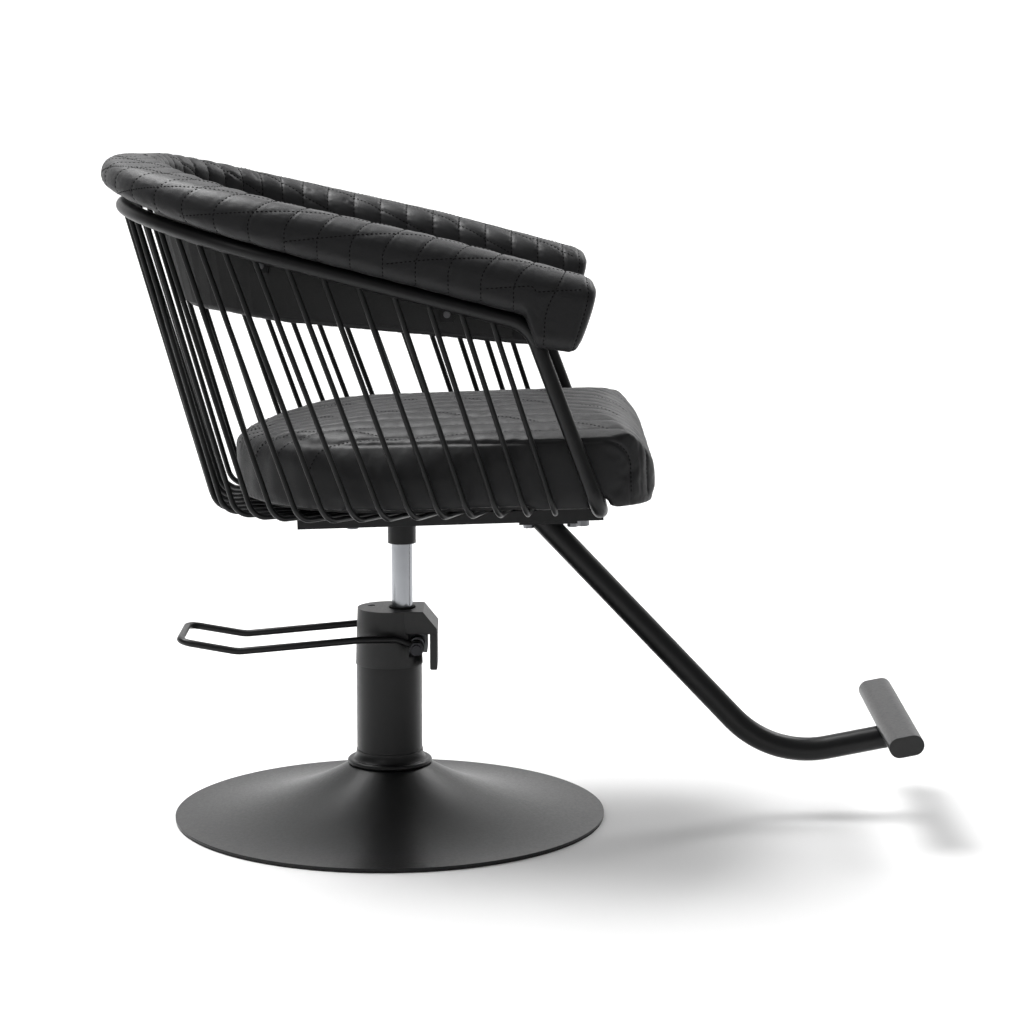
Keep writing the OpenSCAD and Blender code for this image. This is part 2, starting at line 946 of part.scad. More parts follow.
// Ways of the main tube's ends under the seat
module stub_ways(x1, z1) {
    for (s = [-1, 1])
        box(stub_x0, x1, s * 175 - 80, s * 175 + 80, board_z0 - 1, z1);
}

module seat_board() {
    color("#8a6b48")
        seat()
            difference() {
                translate([0, 0, board_z0])
                    linear_extrude(board_t)
                        seat_plan(board_inset);
                stub_ways(400, board_z0 + board_t + 1);
                for (s = [-1, 1]) {
                    translate([front_bolt_x, s * rail_mid, board_z0 - 1])
                        cylinder(d = 8, h = board_t - 1, $fn = 32);
                    translate([rear_bolt_x, s * (rear_bolt_y + 30), board_z0 - 1])
                        cylinder(d = 8, h = board_t - 1, $fn = 32);
                }
            }
}

module seat_spacers() {
    color(rubber)
        seat()
            for (s = [-1, 1])
                for (p = [[front_bolt_x, rail_mid], [rear_bolt_x, rear_bolt_y + 30]])
                    translate([p.x, s * p.y, rail_top])
                        ring(7, 4.2, board_z0 - rail_top);
}

module seat_bolts() {
    color(steel)
        seat()
            for (s = [-1, 1])
                for (p = [[front_bolt_x, rail_mid], [rear_bolt_x, rear_bolt_y + 30]])
                    translate([p.x, s * p.y, rail_z])
                        rotate([180, 0, 0])
                            hex_bolt(8, 13, 9, board_z0 + board_t - 3 - rail_z);
}

// Side view of the cushion: deep round front, round rear edge, crown falling to the rear
module cushion_side() {
    top = cushion_z1;
    intersection() {
        union() {
            translate([cushion_x1 - front_r, top - front_drop - front_r])
                circle(r = front_r);
            translate([cushion_x1 - under_r, cushion_z0 + under_r])
                circle(r = under_r);
            translate([cushion_x0 - 50, cushion_z0])
                square([cushion_x1 - under_r - cushion_x0 + 50, under_r]);
            translate([cushion_x0 - 50, cushion_z0 + under_r])
                square([cushion_x1 - cushion_x0 + 50, top - front_drop - front_r - cushion_z0 - under_r]);
            translate([cushion_x0 - 50, cushion_z0 + under_r])
                square([cushion_x1 - front_r - cushion_x0 + 50, top - cushion_z0]);
        }
        translate([crown_x, top - long_r])
            circle(r = long_r, $fn = 360);
    }
}

// Across the cushion: flat sides, round upper edges and a shallow crown
module cushion_across() {
    half = cushion_y + 2;
    low = cushion_z0 - 5;
    edge_z = cushion_z1 - 14 - edge_r;
    intersection() {
        union() {
            translate([-half, low])
                square([2 * half, edge_z - low]);
            translate([-half + edge_r, low])
                square([2 * (half - edge_r), cushion_z1 + 5 - low]);
            for (s = [-1, 1])
                translate([s * (half - edge_r), edge_z])
                    circle(r = edge_r);
        }
        translate([0, cushion_z1 - cross_r])
            circle(r = cross_r, $fn = 360);
    }
}

// Round rear edge of the cushion, turned about the middle of its rear half circle
module cushion_rear() {
    r = cushion_y + 1;
    edge_z = cushion_z1 - 26 - edge_r;
    translate([cushion_x0 + cushion_y, 0, 0])
        rotate_extrude($fn = 128)
            union() {
                translate([0, cushion_z0 - 5])
                    square([r, edge_z - cushion_z0 + 5]);
                translate([0, cushion_z0 - 5])
                    square([r - edge_r, cushion_z1 + 5 - cushion_z0]);
                translate([r - edge_r, edge_z])
                    circle(r = edge_r);
            }
    translate([cushion_x0 + cushion_y + 20, -300, cushion_z0 - 5])
        cube([400, 600, cushion_z1 + 10 - cushion_z0]);
}

module seat_cushion() {
    color(vinyl)
        seat()
            difference() {
                intersection() {
                    linear_extrude(cushion_z1 + 10)
                        seat_plan(0);
                    translate([0, 300, 0])
                        rotate([90, 0, 0])
                            linear_extrude(600)
                                cushion_side();
                    rotate([90, 0, 90])
                        translate([0, 0, -300])
                            linear_extrude(800)
                                cushion_across();
                    cushion_rear();
                }
                translate([0, 0, board_z0 - 1])
                    linear_extrude(board_t + 1)
                        seat_plan(board_inset);
                stub_ways(stub_x1, rail_top + tube_d + 7);
            }
}

// ---------------------------------------------------------------- back and arm pad

// Point of the pad's section: o outwards from the top rail, z height, at the rail's distance s
function pad_point(s, o, z) =
    let (q = plan(s), x = cage_x0 + q[0] * cos(cage_fall), h = z - rail_height(x))
    [x + o * q[2] + lean_back * max(0, hang_from - h) * (q[2] < 0 ? -q[2] : 0), q[1] + o * q[3], z];

function arc(cx, cz, r, a0, a1, n) =
    [for (i = [0:n]) [cx + r * cos(a0 + (a1 - a0) * i / n), cz + r * sin(a0 + (a1 - a0) * i / n)]];

// Outline of the pad across the roll at x: panel inside, roll over the top rail
function pad_outline(x) =
    let (top = pad_top(x), low = pad_low(x), under = roll_low(x),
         roll_w = roll_out + pad_in, rr = min(30, (top - under) / 2),
         ft = -face_in - pad_board_t)
    concat(
        arc(-pad_in + 12, low + 12, 12, 180, 270, 3),
        arc(ft - 6, low + 6, 6, 270, 360, 2),
        [[ft, under - 1], [-face_in + 4, under]],
        arc(roll_out - rr * 0.6, under + rr * 0.6, rr * 0.6, 270, 360, 3),
        arc(roll_out - rr, top - rr, rr, 0, 90, 4),
        arc(-pad_in + rr, top - rr, rr, 90, 180, 4)
    );

arm_steps = 9;
bend_steps = 12;
tip_s = -(pad_x1 - first_wire_x) / cos(cage_fall);
tip_steps = [0, 5, 15, 28, 42, 56, 70];
tip_size = [0.72, 0.93, 1, 1, 1, 1, 1];
arm_s = tip_s + 70;
stations = concat(
    [for (t = tip_steps) tip_s + t],
    [for (i = [1:arm_steps]) arm_s + (arm_len - arm_s) * i / arm_steps],
    [for (i = [1:bend_steps]) arm_len + arc_len * i / bend_steps]
);

// How far the arm's tip is drawn back at height z, and how much of the section is left there
tip_z = 738;
function tip_back(s, z) =
    max(0, 1 - (s - tip_s) / 75)
    * (26 * pow(max(0, min(1, (tip_z - z) / 80)), 1.3) + 5 * max(0, min(1, (z - tip_z) / 35)));
function tip_scale(i) = i < len(tip_size) ? tip_size[i] : 1;
function middle(line) = [
    (min([for (p = line) p[0]]) + max([for (p = line) p[0]])) / 2,
    (min([for (p = line) p[1]]) + max([for (p = line) p[1]])) / 2
];

// One ring of the pad or its board: an outline across the roll, placed at a station
function pad_ring(i, line, whole) =
    let (s = stations[i], k = tip_scale(i), m = middle(whole))
    [for (p = line)
        let (o = m[0] + (p[0] - m[0]) * k, z = m[1] + (p[1] - m[1]) * k)
        pad_point(s, o, z) - [tip_back(s, z), 0, 0]];

// Rings for both sides from one side's rings, from one arm tip round to the other
function both_sides(rings) = concat(
    rings,
    [for (i = [len(rings) - 1:-1:0]) [for (p = rings[i]) [p.x, -p.y, p.z]]]
);

function rail_x_at(s) = cage_x0 + plan(s)[0] * cos(cage_fall);

module back_pad() {
    color(vinyl)
        skin(both_sides([for (i = [0:len(stations) - 1])
            let (line = pad_outline(rail_x_at(stations[i])))
            pad_ring(i, line, line)]));
}

board_start = len(tip_steps);

module back_board() {
    color(black)
        skin(both_sides([for (i = [board_start:len(stations) - 1])
            let (x = rail_x_at(stations[i]), low = pad_low(x) + 8,
                 up = max(low + 6, roll_low(x) - 3), inner = -face_in - pad_board_t + 2)
            pad_ring(i, [[inner, low], [-face_in, low], [-face_in, up], [inner, up]],
                pad_outline(x))]));
}

// Places of the tabs along one side, by distance from the first wire
tab_places = [56, 300];

// Puts children at a tab: x along the rail, y outwards, z up
module at_tab(s, side) {
    q = plan(s);
    p = rail_point(s);
    translate([p.x, side * p.y, p.z])
        rotate([0, 0, side > 0 ? atan2(q[3], q[2]) - 90 : 90 - atan2(q[3], q[2])])
            mirror([0, side > 0 ? 0 : 1, 0])
                children();
}

module pad_tabs() {
    tab_t = 3;
    color(black)
        for (side = [-1, 1])
            for (s = tab_places)
                at_tab(s, side) {
                    box(-tab_w / 2, tab_w / 2, -face_in, -tube_d / 2 + 1, -5 - tab_t, -5);
                    box(-tab_w / 2, tab_w / 2, -face_in, -face_in + tab_t, -26, -5);
                }
}

module pad_screws() {
    color(steel)
        for (side = [-1, 1])
            for (s = tab_places)
                at_tab(s, side)
                    translate([0, -face_in + 3, -16])
                        rotate([90, 0, 0]) {
                            cylinder(d = 4, h = 10, $fn = 24);
                            translate([0, 0, -3])
                                cylinder(d = 9, h = 3, $fn = 32);
                        }
}

// ---------------------------------------------------------------- foot rest

module footrest_bracket() {
    color(black)
        seat()
            difference() {
                box(bracket_x0, bracket_x0 + bracket_l, -bracket_y, bracket_y,
                    rail_z - bracket_h, rail_z);
                box(bracket_x0 - 1, bracket_x0 + bracket_l + 1, -bracket_y + 4, bracket_y - 4,
                    rail_z - bracket_h + 4, rail_z - 4);
                for (x = [bar_xs[3], bar_xs[4]])
                    for (s = [-1, 1])
                        translate([x, s * rest_bolt_y, rail_z - bracket_h - 1])
                            cylinder(d = 8.6, h = bracket_h + 2, $fn = 32);
            }
}

module footrest_plate() {
    color(black)
        seat()
            difference() {
                box(bracket_x0, bracket_x0 + bracket_l, -bracket_y, bracket_y,
                    rail_z - bracket_h - rest_plate_t, rail_z - bracket_h);
                for (x = [bar_xs[3], bar_xs[4]])
                    for (s = [-1, 1])
                        translate([x, s * rest_bolt_y, rail_z - bracket_h - rest_plate_t - 1])
                            cylinder(d = 8.6, h = rest_plate_t + 2, $fn = 32);
            }
}

module footrest_bolts() {
    color(steel)
        seat()
            for (x = [bar_xs[3], bar_xs[4]])
                for (s = [-1, 1])
                    translate([x, s * rest_bolt_y, rail_z - bracket_h - rest_plate_t])
                        rotate([180, 0, 0])
                            hex_bolt(8, 13, 5.3, bracket_h + rest_plate_t + rail_h - 4);
}

module footrest_tube() {
    back = unit(rest_top - rest_corner) * 40;
    color(black)
        difference() {
            bent_tube([rest_top + back, rest_corner, rest_end], [0, rest_r, 0], rest_d, 2.5);
            seat()
                box(100, 350, -80, 80, rail_z - bracket_h - rest_plate_t, rail_z + 80);
            translate([bar_x, 0, bar_z])
                rotate([90, -rest_rise, 0])
                    linear_extrude(bar_l, center = true)
                        bar_section(0);
        }
}

module tube_plug() {
    along = unit(rest_end - rest_corner);
    color(rubber)
        difference() {
            bar(rest_end - along * 6, rest_end + along * 2, rest_d - 5);
            translate([bar_x, 0, bar_z])
                rotate([90, -rest_rise, 0])
                    linear_extrude(bar_l, center = true)
                        bar_section(0);
        }
}

// Section of the foot bar: a rectangle with round ends
module bar_section(inset) {
    r = bar_h / 2 - inset;
    run = (bar_w - bar_h) / 2;
    translate([-run, -r])
        square([2 * run, 2 * r]);
    for (s = [-1, 1])
        translate([s * run, 0])
            circle(r = r);
}

module foot_bar() {
    color(black)
        translate([bar_x, 0, bar_z])
            rotate([90, -rest_rise, 0])
                difference() {
                    linear_extrude(bar_l - 8, center = true)
                        bar_section(0);
                    linear_extrude(bar_l, center = true)
                        bar_section(2);
                }
}

module foot_bar_caps() {
    color(rubber)
        for (s = [-1, 1])
            translate([bar_x, s * (bar_l / 2 - 2), bar_z])
                rotate([90, -rest_rise, 0]) {
                    linear_extrude(4, center = true)
                        bar_section(0);
                    translate([0, 0, s * 7])
                        linear_extrude(10, center = true)
                            bar_section(2);
                }
}

// ---------------------------------------------------------------- nodes

floor_pad();
base_shell();
base_plate();
pump_flange();
base_bolts();
reservoir_tube();
column_sleeve();
trim_ring();
cylinder_liner();
pump_head();
head_cover();
filler_screw();
guide_bush();
wiper_seal();
foot_lever();
lever_shaft();
rocker();
lever_nuts();
pump_plunger();
plunger_spring();
ram_rod();
piston_head();
piston_seal();
thrust_bearing();
seat_hub();
hub_bush();
seat_plate();
plate_bolts();
rail_left();
rail_right();
cross_bars();
rail_caps();
frame_tube();
wires_left();
wires_right();
wires_rear();
seat_board();
seat_spacers();
seat_bolts();
seat_cushion();
back_board();
back_pad();
pad_tabs();
pad_screws();
footrest_bracket();
footrest_plate();
footrest_bolts();
footrest_tube();
tube_plug();
foot_bar();
foot_bar_caps();
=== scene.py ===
import json
import math

import bpy
import numpy as np
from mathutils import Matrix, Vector
from mathutils.bvhtree import BVHTree


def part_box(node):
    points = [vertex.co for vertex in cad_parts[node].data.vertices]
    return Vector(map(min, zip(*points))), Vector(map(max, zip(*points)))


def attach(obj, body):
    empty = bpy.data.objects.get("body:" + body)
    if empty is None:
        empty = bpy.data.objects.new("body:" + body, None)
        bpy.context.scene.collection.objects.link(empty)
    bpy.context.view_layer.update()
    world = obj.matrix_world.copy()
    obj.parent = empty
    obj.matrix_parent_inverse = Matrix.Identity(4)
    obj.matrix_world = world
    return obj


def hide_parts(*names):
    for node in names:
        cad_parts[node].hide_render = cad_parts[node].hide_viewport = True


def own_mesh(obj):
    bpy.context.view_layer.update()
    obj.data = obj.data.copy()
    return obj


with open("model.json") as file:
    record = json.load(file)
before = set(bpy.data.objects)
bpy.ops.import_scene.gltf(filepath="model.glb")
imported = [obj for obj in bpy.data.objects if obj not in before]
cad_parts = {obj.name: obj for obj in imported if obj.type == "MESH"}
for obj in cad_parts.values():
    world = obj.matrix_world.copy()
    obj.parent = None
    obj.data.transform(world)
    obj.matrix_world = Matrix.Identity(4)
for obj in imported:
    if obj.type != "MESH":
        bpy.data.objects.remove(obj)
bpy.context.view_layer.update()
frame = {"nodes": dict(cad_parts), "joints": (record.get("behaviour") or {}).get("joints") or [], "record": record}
nodes = frame["nodes"]


# ------------------------------------------------------------------ materials
def material(name):
    m = bpy.data.materials.new(name)
    m.use_nodes = True
    t = m.node_tree
    t.nodes.clear()
    out = t.nodes.new("ShaderNodeOutputMaterial")
    bsdf = t.nodes.new("ShaderNodeBsdfPrincipled")
    t.links.new(bsdf.outputs[0], out.inputs["Surface"])
    return m, t, bsdf


def add(t, kind, inputs=None, **props):
    n = t.nodes.new(kind)
    for k, v in props.items():
        setattr(n, k, v)
    for k, v in (inputs or {}).items():
        if isinstance(v, bpy.types.NodeSocket):
            t.links.new(v, n.inputs[k])
        else:
            n.inputs[k].default_value = v
    return n


def coords(t):
    return add(t, "ShaderNodeTexCoord").outputs["Object"]


def noise(t, co, scale, detail=3.0, rough=0.55, distortion=0.0):
    return add(
        t,
        "ShaderNodeTexNoise",
        {"Vector": co, "Scale": scale, "Detail": detail, "Roughness": rough, "Distortion": distortion},
    ).outputs["Fac"]


def remap(t, value, a, b, c, d):
    return add(
        t,
        "ShaderNodeMapRange",
        {"Value": value, "From Min": a, "From Max": b, "To Min": c, "To Max": d},
    ).outputs["Result"]


def mix(t, fac, a, b):
    n = t.nodes.new("ShaderNodeMix")
    n.data_type = "RGBA"
    n.inputs[0].default_value = 0.5
    if isinstance(fac, bpy.types.NodeSocket):
        t.links.new(fac, n.inputs[0])
    else:
        n.inputs[0].default_value = fac
    for i, v in ((6, a), (7, b)):
        if isinstance(v, bpy.types.NodeSocket):
            t.links.new(v, n.inputs[i])
        else:
            n.inputs[i].default_value = (*v, 1.0) if len(v) == 3 else v
    return n.outputs[2]


def maths(t, op, a, b=0.0, c=0.0, clamp=False):
    n = t.nodes.new("ShaderNodeMath")
    n.operation = op
    n.use_clamp = clamp
    for i, v in enumerate((a, b, c)):
        if isinstance(v, bpy.types.NodeSocket):
            t.links.new(v, n.inputs[i])
        else:
            n.inputs[i].default_value = v
    return n.outputs[0]


def bump(t, height, distance, strength=1.0, normal=None):
    n = add(t, "ShaderNodeBump", {"Height": height, "Distance": distance, "Strength": strength})
    if normal is not None:
        t.links.new(normal, n.inputs["Normal"])
    return n.outputs["Normal"]


def edge_mask_and_round_normal(t, radius=0.0015):
    """How much a point lies on an outer edge, from the difference of a rounded and the plain normal."""
    bev = add(t, "ShaderNodeBevel", {"Radius": radius}, samples=4)
    geo = add(t, "ShaderNodeNewGeometry")
    both = {0: bev.outputs[0], 1: geo.outputs["Normal"]}
    dot = add(t, "ShaderNodeVectorMath", both, operation="DOT_PRODUCT")
    return remap(t, dot.outputs["Value"], 0.995, 0.93, 0.0, 1.0), bev.outputs[0]


def powder_coat(name, base, rough, peel=0.00006, edge=0.0012):
    m, t, b = material(name)
    co = coords(t)
    fine = noise(t, co, 1100.0, 2.0)
    wide = noise(t, co, 9.0, 4.0)
    dust_and_highlight_patches = noise(t, co, 240.0, 5.0, 0.7)
    painted_edge_highlight, round_normal = edge_mask_and_round_normal(t, edge)
    tone = mix(t, remap(t, wide, 0.3, 0.7, 0.0, 1.0), [c * 0.85 for c in base], [c * 1.2 for c in base])
    speck = remap(t, dust_and_highlight_patches, 0.66, 0.78, 0.0, 0.25)
    tone = mix(t, speck, tone, [min(1.0, c * 2.2 + 0.01) for c in base])
    # Painted edge highlight: the outer edges are lightened towards grey, in patches set by the dust noise.
    patchy_edge_highlight = maths(t, "MULTIPLY", painted_edge_highlight, remap(t, dust_and_highlight_patches, 0.45, 0.7, 0.0, 0.5))
    tone = mix(t, patchy_edge_highlight, tone, (0.10, 0.10, 0.105))
    t.links.new(tone, b.inputs["Base Color"])
    t.links.new(remap(t, dust_and_highlight_patches, 0.3, 0.7, rough - 0.04, rough + 0.06), b.inputs["Roughness"])
    b.inputs["Specular IOR Level"].default_value = 0.32
    t.links.new(bump(t, fine, peel, 0.6, round_normal), b.inputs["Normal"])
    return m


def leatherette(name, base):
    m, t, b = material(name)
    co = coords(t)
    warp = add(t, "ShaderNodeTexNoise", {"Vector": co, "Scale": 160.0, "Detail": 2.0})
    shift = add(t, "ShaderNodeVectorMath", {0: warp.outputs["Color"]}, operation="SCALE")
    shift.inputs["Scale"].default_value = 0.0022
    bent = add(t, "ShaderNodeVectorMath", {0: co, 1: shift.outputs[0]}, operation="ADD").outputs[0]
    grid = add(t, "ShaderNodeTexVoronoi", {"Vector": bent, "Scale": 780.0}, feature="DISTANCE_TO_EDGE")
    cells = grid.outputs["Distance"]
    pores = noise(t, co, 1700.0, 2.0)
    folds = noise(t, co, 55.0, 4.0, 0.6, 0.4)
    wide = noise(t, co, 7.0, 3.0)
    creases = remap(t, cells, 0.0, 0.12, 0.0, 1.0)
    height = maths(t, "MULTIPLY_ADD", creases, 0.75, maths(t, "MULTIPLY", pores, 0.25))
    tone = mix(t, remap(t, wide, 0.3, 0.7, 0.0, 1.0), [c * 0.86 for c in base], [c * 1.16 for c in base])
    # Painted shade: the grain's valleys between the cells are darkened.
    tone = mix(t, remap(t, creases, 0.0, 1.0, 0.35, 0.0), tone, [c * 0.45 for c in base])
    # Painted highlight: the raised crests of the soft folds are lightened.
    tone = mix(t, remap(t, folds, 0.58, 0.8, 0.0, 0.3), tone, [c * 1.5 for c in base])
    t.links.new(tone, b.inputs["Base Color"])
    rough = maths(t, "ADD", remap(t, folds, 0.3, 0.7, 0.42, 0.50), remap(t, creases, 0.0, 1.0, 0.12, 0.0))
    t.links.new(rough, b.inputs["Roughness"])
    b.inputs["Specular IOR Level"].default_value = 0.34
    b.inputs["Sheen Weight"].default_value = 0.02
    b.inputs["Sheen Roughness"].default_value = 0.5
    soft = bump(t, folds, 0.0008, 0.35)
    t.links.new(bump(t, height, 0.00012, 0.55, soft), b.inputs["Normal"])
    return m


def thread(name, base):
    m, t, b = material(name)
    co = coords(t)
    wave = noise(t, co, 2600.0, 2.0)
    t.links.new(mix(t, wave, [c * 0.6 for c in base], [c * 1.5 for c in base]), b.inputs["Base Color"])
    b.inputs["Roughness"].default_value = 0.85
    b.inputs["Specular IOR Level"].default_value = 0.12
    t.links.new(bump(t, wave, 0.0002, 0.6), b.inputs["Normal"])
    return m


def metal(name, base, rough, streak=0.0, axis="Z", edge=0.0008):
    m, t, b = material(name)
    co = coords(t)
    grain = noise(t, co, 700.0, 3.0)
    wide = noise(t, co, 18.0, 4.0)
    stretch = add(t, "ShaderNodeMapping", {"Vector": co})
    stretch.inputs["Scale"].default_value = (1500.0, 1500.0, 12.0) if axis == "Z" else (12.0, 1500.0, 1500.0)
    drawn = {"Vector": stretch.outputs[0], "Scale": 1.0, "Detail": 2.0}
    lines = add(t, "ShaderNodeTexNoise", drawn).outputs["Fac"]
    round_normal = edge_mask_and_round_normal(t, edge)[1]
    low_tone, high_tone = [c * 0.9 for c in base], [min(1.0, c * 1.08) for c in base]
    tone = mix(t, remap(t, wide, 0.3, 0.7, 0.0, 1.0), low_tone, high_tone)
    t.links.new(tone, b.inputs["Base Color"])
    b.inputs["Metallic"].default_value = 1.0
    even = remap(t, grain, 0.3, 0.7, rough - 0.03, rough + 0.05)
    level = maths(t, "ADD", even, maths(t, "MULTIPLY", lines, streak))
    t.links.new(level, b.inputs["Roughness"])
    t.links.new(bump(t, maths(t, "ADD", grain, lines), 0.00003, 0.35, round_normal), b.inputs["Normal"])
    return m


def plastic(name, base, rough, scale=900.0, depth=0.00008):
    m, t, b = material(name)
    co = coords(t)
    pebble = add(t, "ShaderNodeTexVoronoi", {"Vector": co, "Scale": scale}, feature="SMOOTH_F1")
    grain = pebble.outputs["Distance"]
    wide = noise(t, co, 14.0, 4.0)
    fine = noise(t, co, 420.0, 3.0)
    painted_edge_highlight, round_normal = edge_mask_and_round_normal(t, 0.001)
    tone = mix(t, remap(t, wide, 0.3, 0.7, 0.0, 1.0), [c * 0.85 for c in base], [c * 1.2 for c in base])
    # Painted edge highlight: every outer edge is lightened by a fixed share.
    tone = mix(t, maths(t, "MULTIPLY", painted_edge_highlight, 0.3), tone, [c * 2.0 + 0.01 for c in base])
    t.links.new(tone, b.inputs["Base Color"])
    t.links.new(remap(t, fine, 0.3, 0.7, rough - 0.05, rough + 0.06), b.inputs["Roughness"])
    t.links.new(bump(t, grain, depth, 0.5, round_normal), b.inputs["Normal"])
    return m


M = {
    "coat": powder_coat("satin_black_coat", (0.0045, 0.0046, 0.0050), 0.36),
    "coat_base": powder_coat("satin_black_base", (0.0045, 0.0046, 0.0050), 0.36),
    "vinyl": leatherette("black_leatherette", (0.0065, 0.0065, 0.0074)),
    "thread": thread("black_thread", (0.0016, 0.0016, 0.0018)),
    "chrome": metal("ground_chrome", (0.36, 0.37, 0.39), 0.12, 0.10),
    "zinc": metal("zinc_steel", (0.22, 0.224, 0.235), 0.34, 0.05),
    # A darker, slightly rougher copy of the zinc, which dims the pad screws.
    "darker_zinc": metal("darker_zinc", (0.13, 0.13, 0.135), 0.38, 0.05),
    "dark_zinc": metal("black_zinc", (0.035, 0.035, 0.038), 0.34, 0.05),
    "cast": metal("cast_grey", (0.20, 0.205, 0.21), 0.55),
    "bronze": metal("bronze", (0.45, 0.31, 0.14), 0.35),
    "rubber": plastic("black_rubber", (0.006, 0.006, 0.0063), 0.72, 500.0, 0.0001),
    "plastic": plastic("black_plastic", (0.006, 0.006, 0.0063), 0.42),
    "felt": plastic("board_cover", (0.005, 0.005, 0.0053), 0.62, 1400.0, 0.00015),
}

by_slot = {
    "black_powder_coat": "coat",
    "black_leatherette": "vinyl",
    "polished_chrome": "chrome",
    "zinc_steel": "zinc",
    "cast_grey": "cast",
    "black_rubber": "rubber",
    "black_plastic": "plastic",
    "bronze_bush": "bronze",
    "black_board": "felt",
    "black_zinc": "dark_zinc",
}
special = {
    "base_shell": "coat_base",
    "trim_ring": "coat_base",
    "back_board": "felt",
    "seat_board": "felt",
    "lever_nuts": "dark_zinc",
    "pad_screws": "darker_zinc",
    "lever_shaft": "dark_zinc",
}
slots = {s["node"]: s["material_slot"] for s in frame["record"]["subparts"]}


def set_material(ob, m):
    ob.data.materials.clear()
    ob.data.materials.append(m)


for name, ob in nodes.items():
    set_material(ob, M[special.get(name, by_slot[slots[name]])])

# ------------------------------------------------------------------ shape of the back and arm pad
# Lengths below are in millimetres; places come from the frame's own pieces.
def lohi(name):
    lo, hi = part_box(name)
    return np.array(lo) * 1000.0, np.array(hi) * 1000.0


tube_lo, tube_hi = lohi("frame_tube")
pad_hi = lohi("back_pad")[1]
TUBE_R = 10.0
CAGE_X0 = tube_lo[0] + TUBE_R
CAGE_Y = tube_hi[1] - TUBE_R
CAGE_Z0 = tube_hi[2] - TUBE_R
FALL = math.radians(14.55)
BEND = CAGE_Y - 20.0
FIRST_X = 139.0
ARM = (FIRST_X - CAGE_X0) / math.cos(FALL) - BEND
ARC = BEND * math.pi / 2
HALF = ARM + ARC + CAGE_Y - BEND
TIP_X = pad_hi[0]
TIP_S = -(TIP_X - FIRST_X) / math.cos(FALL)
ROLL_OUT, PAD_IN, FACE_IN, PANEL_T, ROLL_TOP = 28.0, 54.0, 26.0, 7.5, 78.0
LEG_X, LEG_Z, LEG_LEAN = 169.0, 701.0, math.tan(math.radians(20.6))


def plan(s):
    """Along, across and the outward normal of the top rail, at a distance from the first wire."""
    a = np.clip((s - ARM) / BEND, 0.0, math.pi / 2)
    along = np.where(s < ARM, BEND + ARM - s, BEND * (1 - np.sin(a)))
    across = np.where(s < ARM, CAGE_Y, CAGE_Y - BEND + BEND * np.cos(a))
    across = np.where(s > ARM + ARC, HALF - s, across)
    return along, across, -np.sin(a), np.cos(a)


def rail_height(x):
    return CAGE_Z0 - (x - CAGE_X0) * math.tan(FALL)


def pad_low(x):
    return np.minimum(706.0, 662.0 + 0.092 * (245.0 - x))


def pad_top(x):
    return rail_height(x) + ROLL_TOP - 16.0 * np.clip((60.0 - x) / 400.0, 0.0, 1.0)


def roll_low(x):
    gap = 11.0 + 13.0 * np.maximum(0.0, x / CAGE_X0) ** 3
    front = LEG_Z + (LEG_X + 16.0 - x) / LEG_LEAN
    return np.maximum(pad_low(x) + 2.0, np.minimum(rail_height(x) + gap, front))


def resample(points, n):
    p = np.array(points, float)
    d = np.concatenate([[0.0], np.cumsum(np.linalg.norm(np.diff(p, axis=0), axis=1))])
    at = np.arange(n) / n * d[-1]
    return np.stack([np.interp(at, d, p[:, 0]), np.interp(at, d, p[:, 1])], 1), d[-1]


def arc_points(cx, cz, r, a0, a1, n=10):
    a = np.radians(np.linspace(a0, a1, n))
    return list(zip(cx + r * np.cos(a), cz + r * np.sin(a)))


N_UP, N_LOW = 60, 60


def section(x):
    """Outline across the roll: first the roll from its outer lower corner over the top to the inner
    face, then
    the panel inside, its lower edge, its outer face and the roll's underside."""
    top, low, under = float(pad_top(x)), float(pad_low(x)), float(roll_low(x))
    rr = min(30.0, (top - under) / 2)
    foot = min(6.0, max(0.4, (under - low - 1.0) / 1.5))
    split = max(under, low + 18.0)
    ft = -FACE_IN - PANEL_T
    upper = (
        [(ROLL_OUT - rr * 0.6, under)]
        + arc_points(ROLL_OUT - rr * 0.6, under + rr * 0.6, rr * 0.6, 270, 360)
        + arc_points(ROLL_OUT - rr, top - rr, rr, 0, 90)
        + arc_points(-PAD_IN + rr, top - rr, rr, 90, 180)
        + [(-PAD_IN, split)]
    )
    lower = [(-PAD_IN, split)] + arc_points(-PAD_IN + 12, low + 12, 12, 180, 270)
    lower += arc_points(ft - foot, low + foot, foot, 270, 360, 6)
    if under - 1 > low + foot:
        lower.append((ft, under - 1))
    lower += [(-FACE_IN + 4, under), (ROLL_OUT - rr * 0.6, under)]
    u, lu = resample(upper, N_UP)
    v = resample(lower, N_LOW)[0]
    mid = np.array([(-PAD_IN + ROLL_OUT) / 2, (top + low) / 2])
    return np.concatenate([u, v]), lu, mid


def pad_places(s, side, line, mid, scale, forward):
    along, across, nx, ny = (float(a) for a in plan(np.array(s)))
    x = CAGE_X0 + along * math.cos(FALL)
    o = mid[0] + (line[:, 0] - mid[0]) * scale
    z = mid[1] + (line[:, 1] - mid[1]) * scale
    h = z - rail_height(x)
    lean = 0.3 * np.maximum(0.0, 35.0 - h) * max(0.0, -nx)
    tip = max(0.0, 1.0 - (s - TIP_S) / 75.0) * (
        26.0 * np.clip((738.0 - z) / 80.0, 0.0, 1.0) ** 1.3 + 5.0 * np.clip((z - 738.0) / 35.0, 0.0, 1.0)
    )
    return np.stack([x + o * nx + lean - tip + forward, side * (across + o * ny), z], 1)


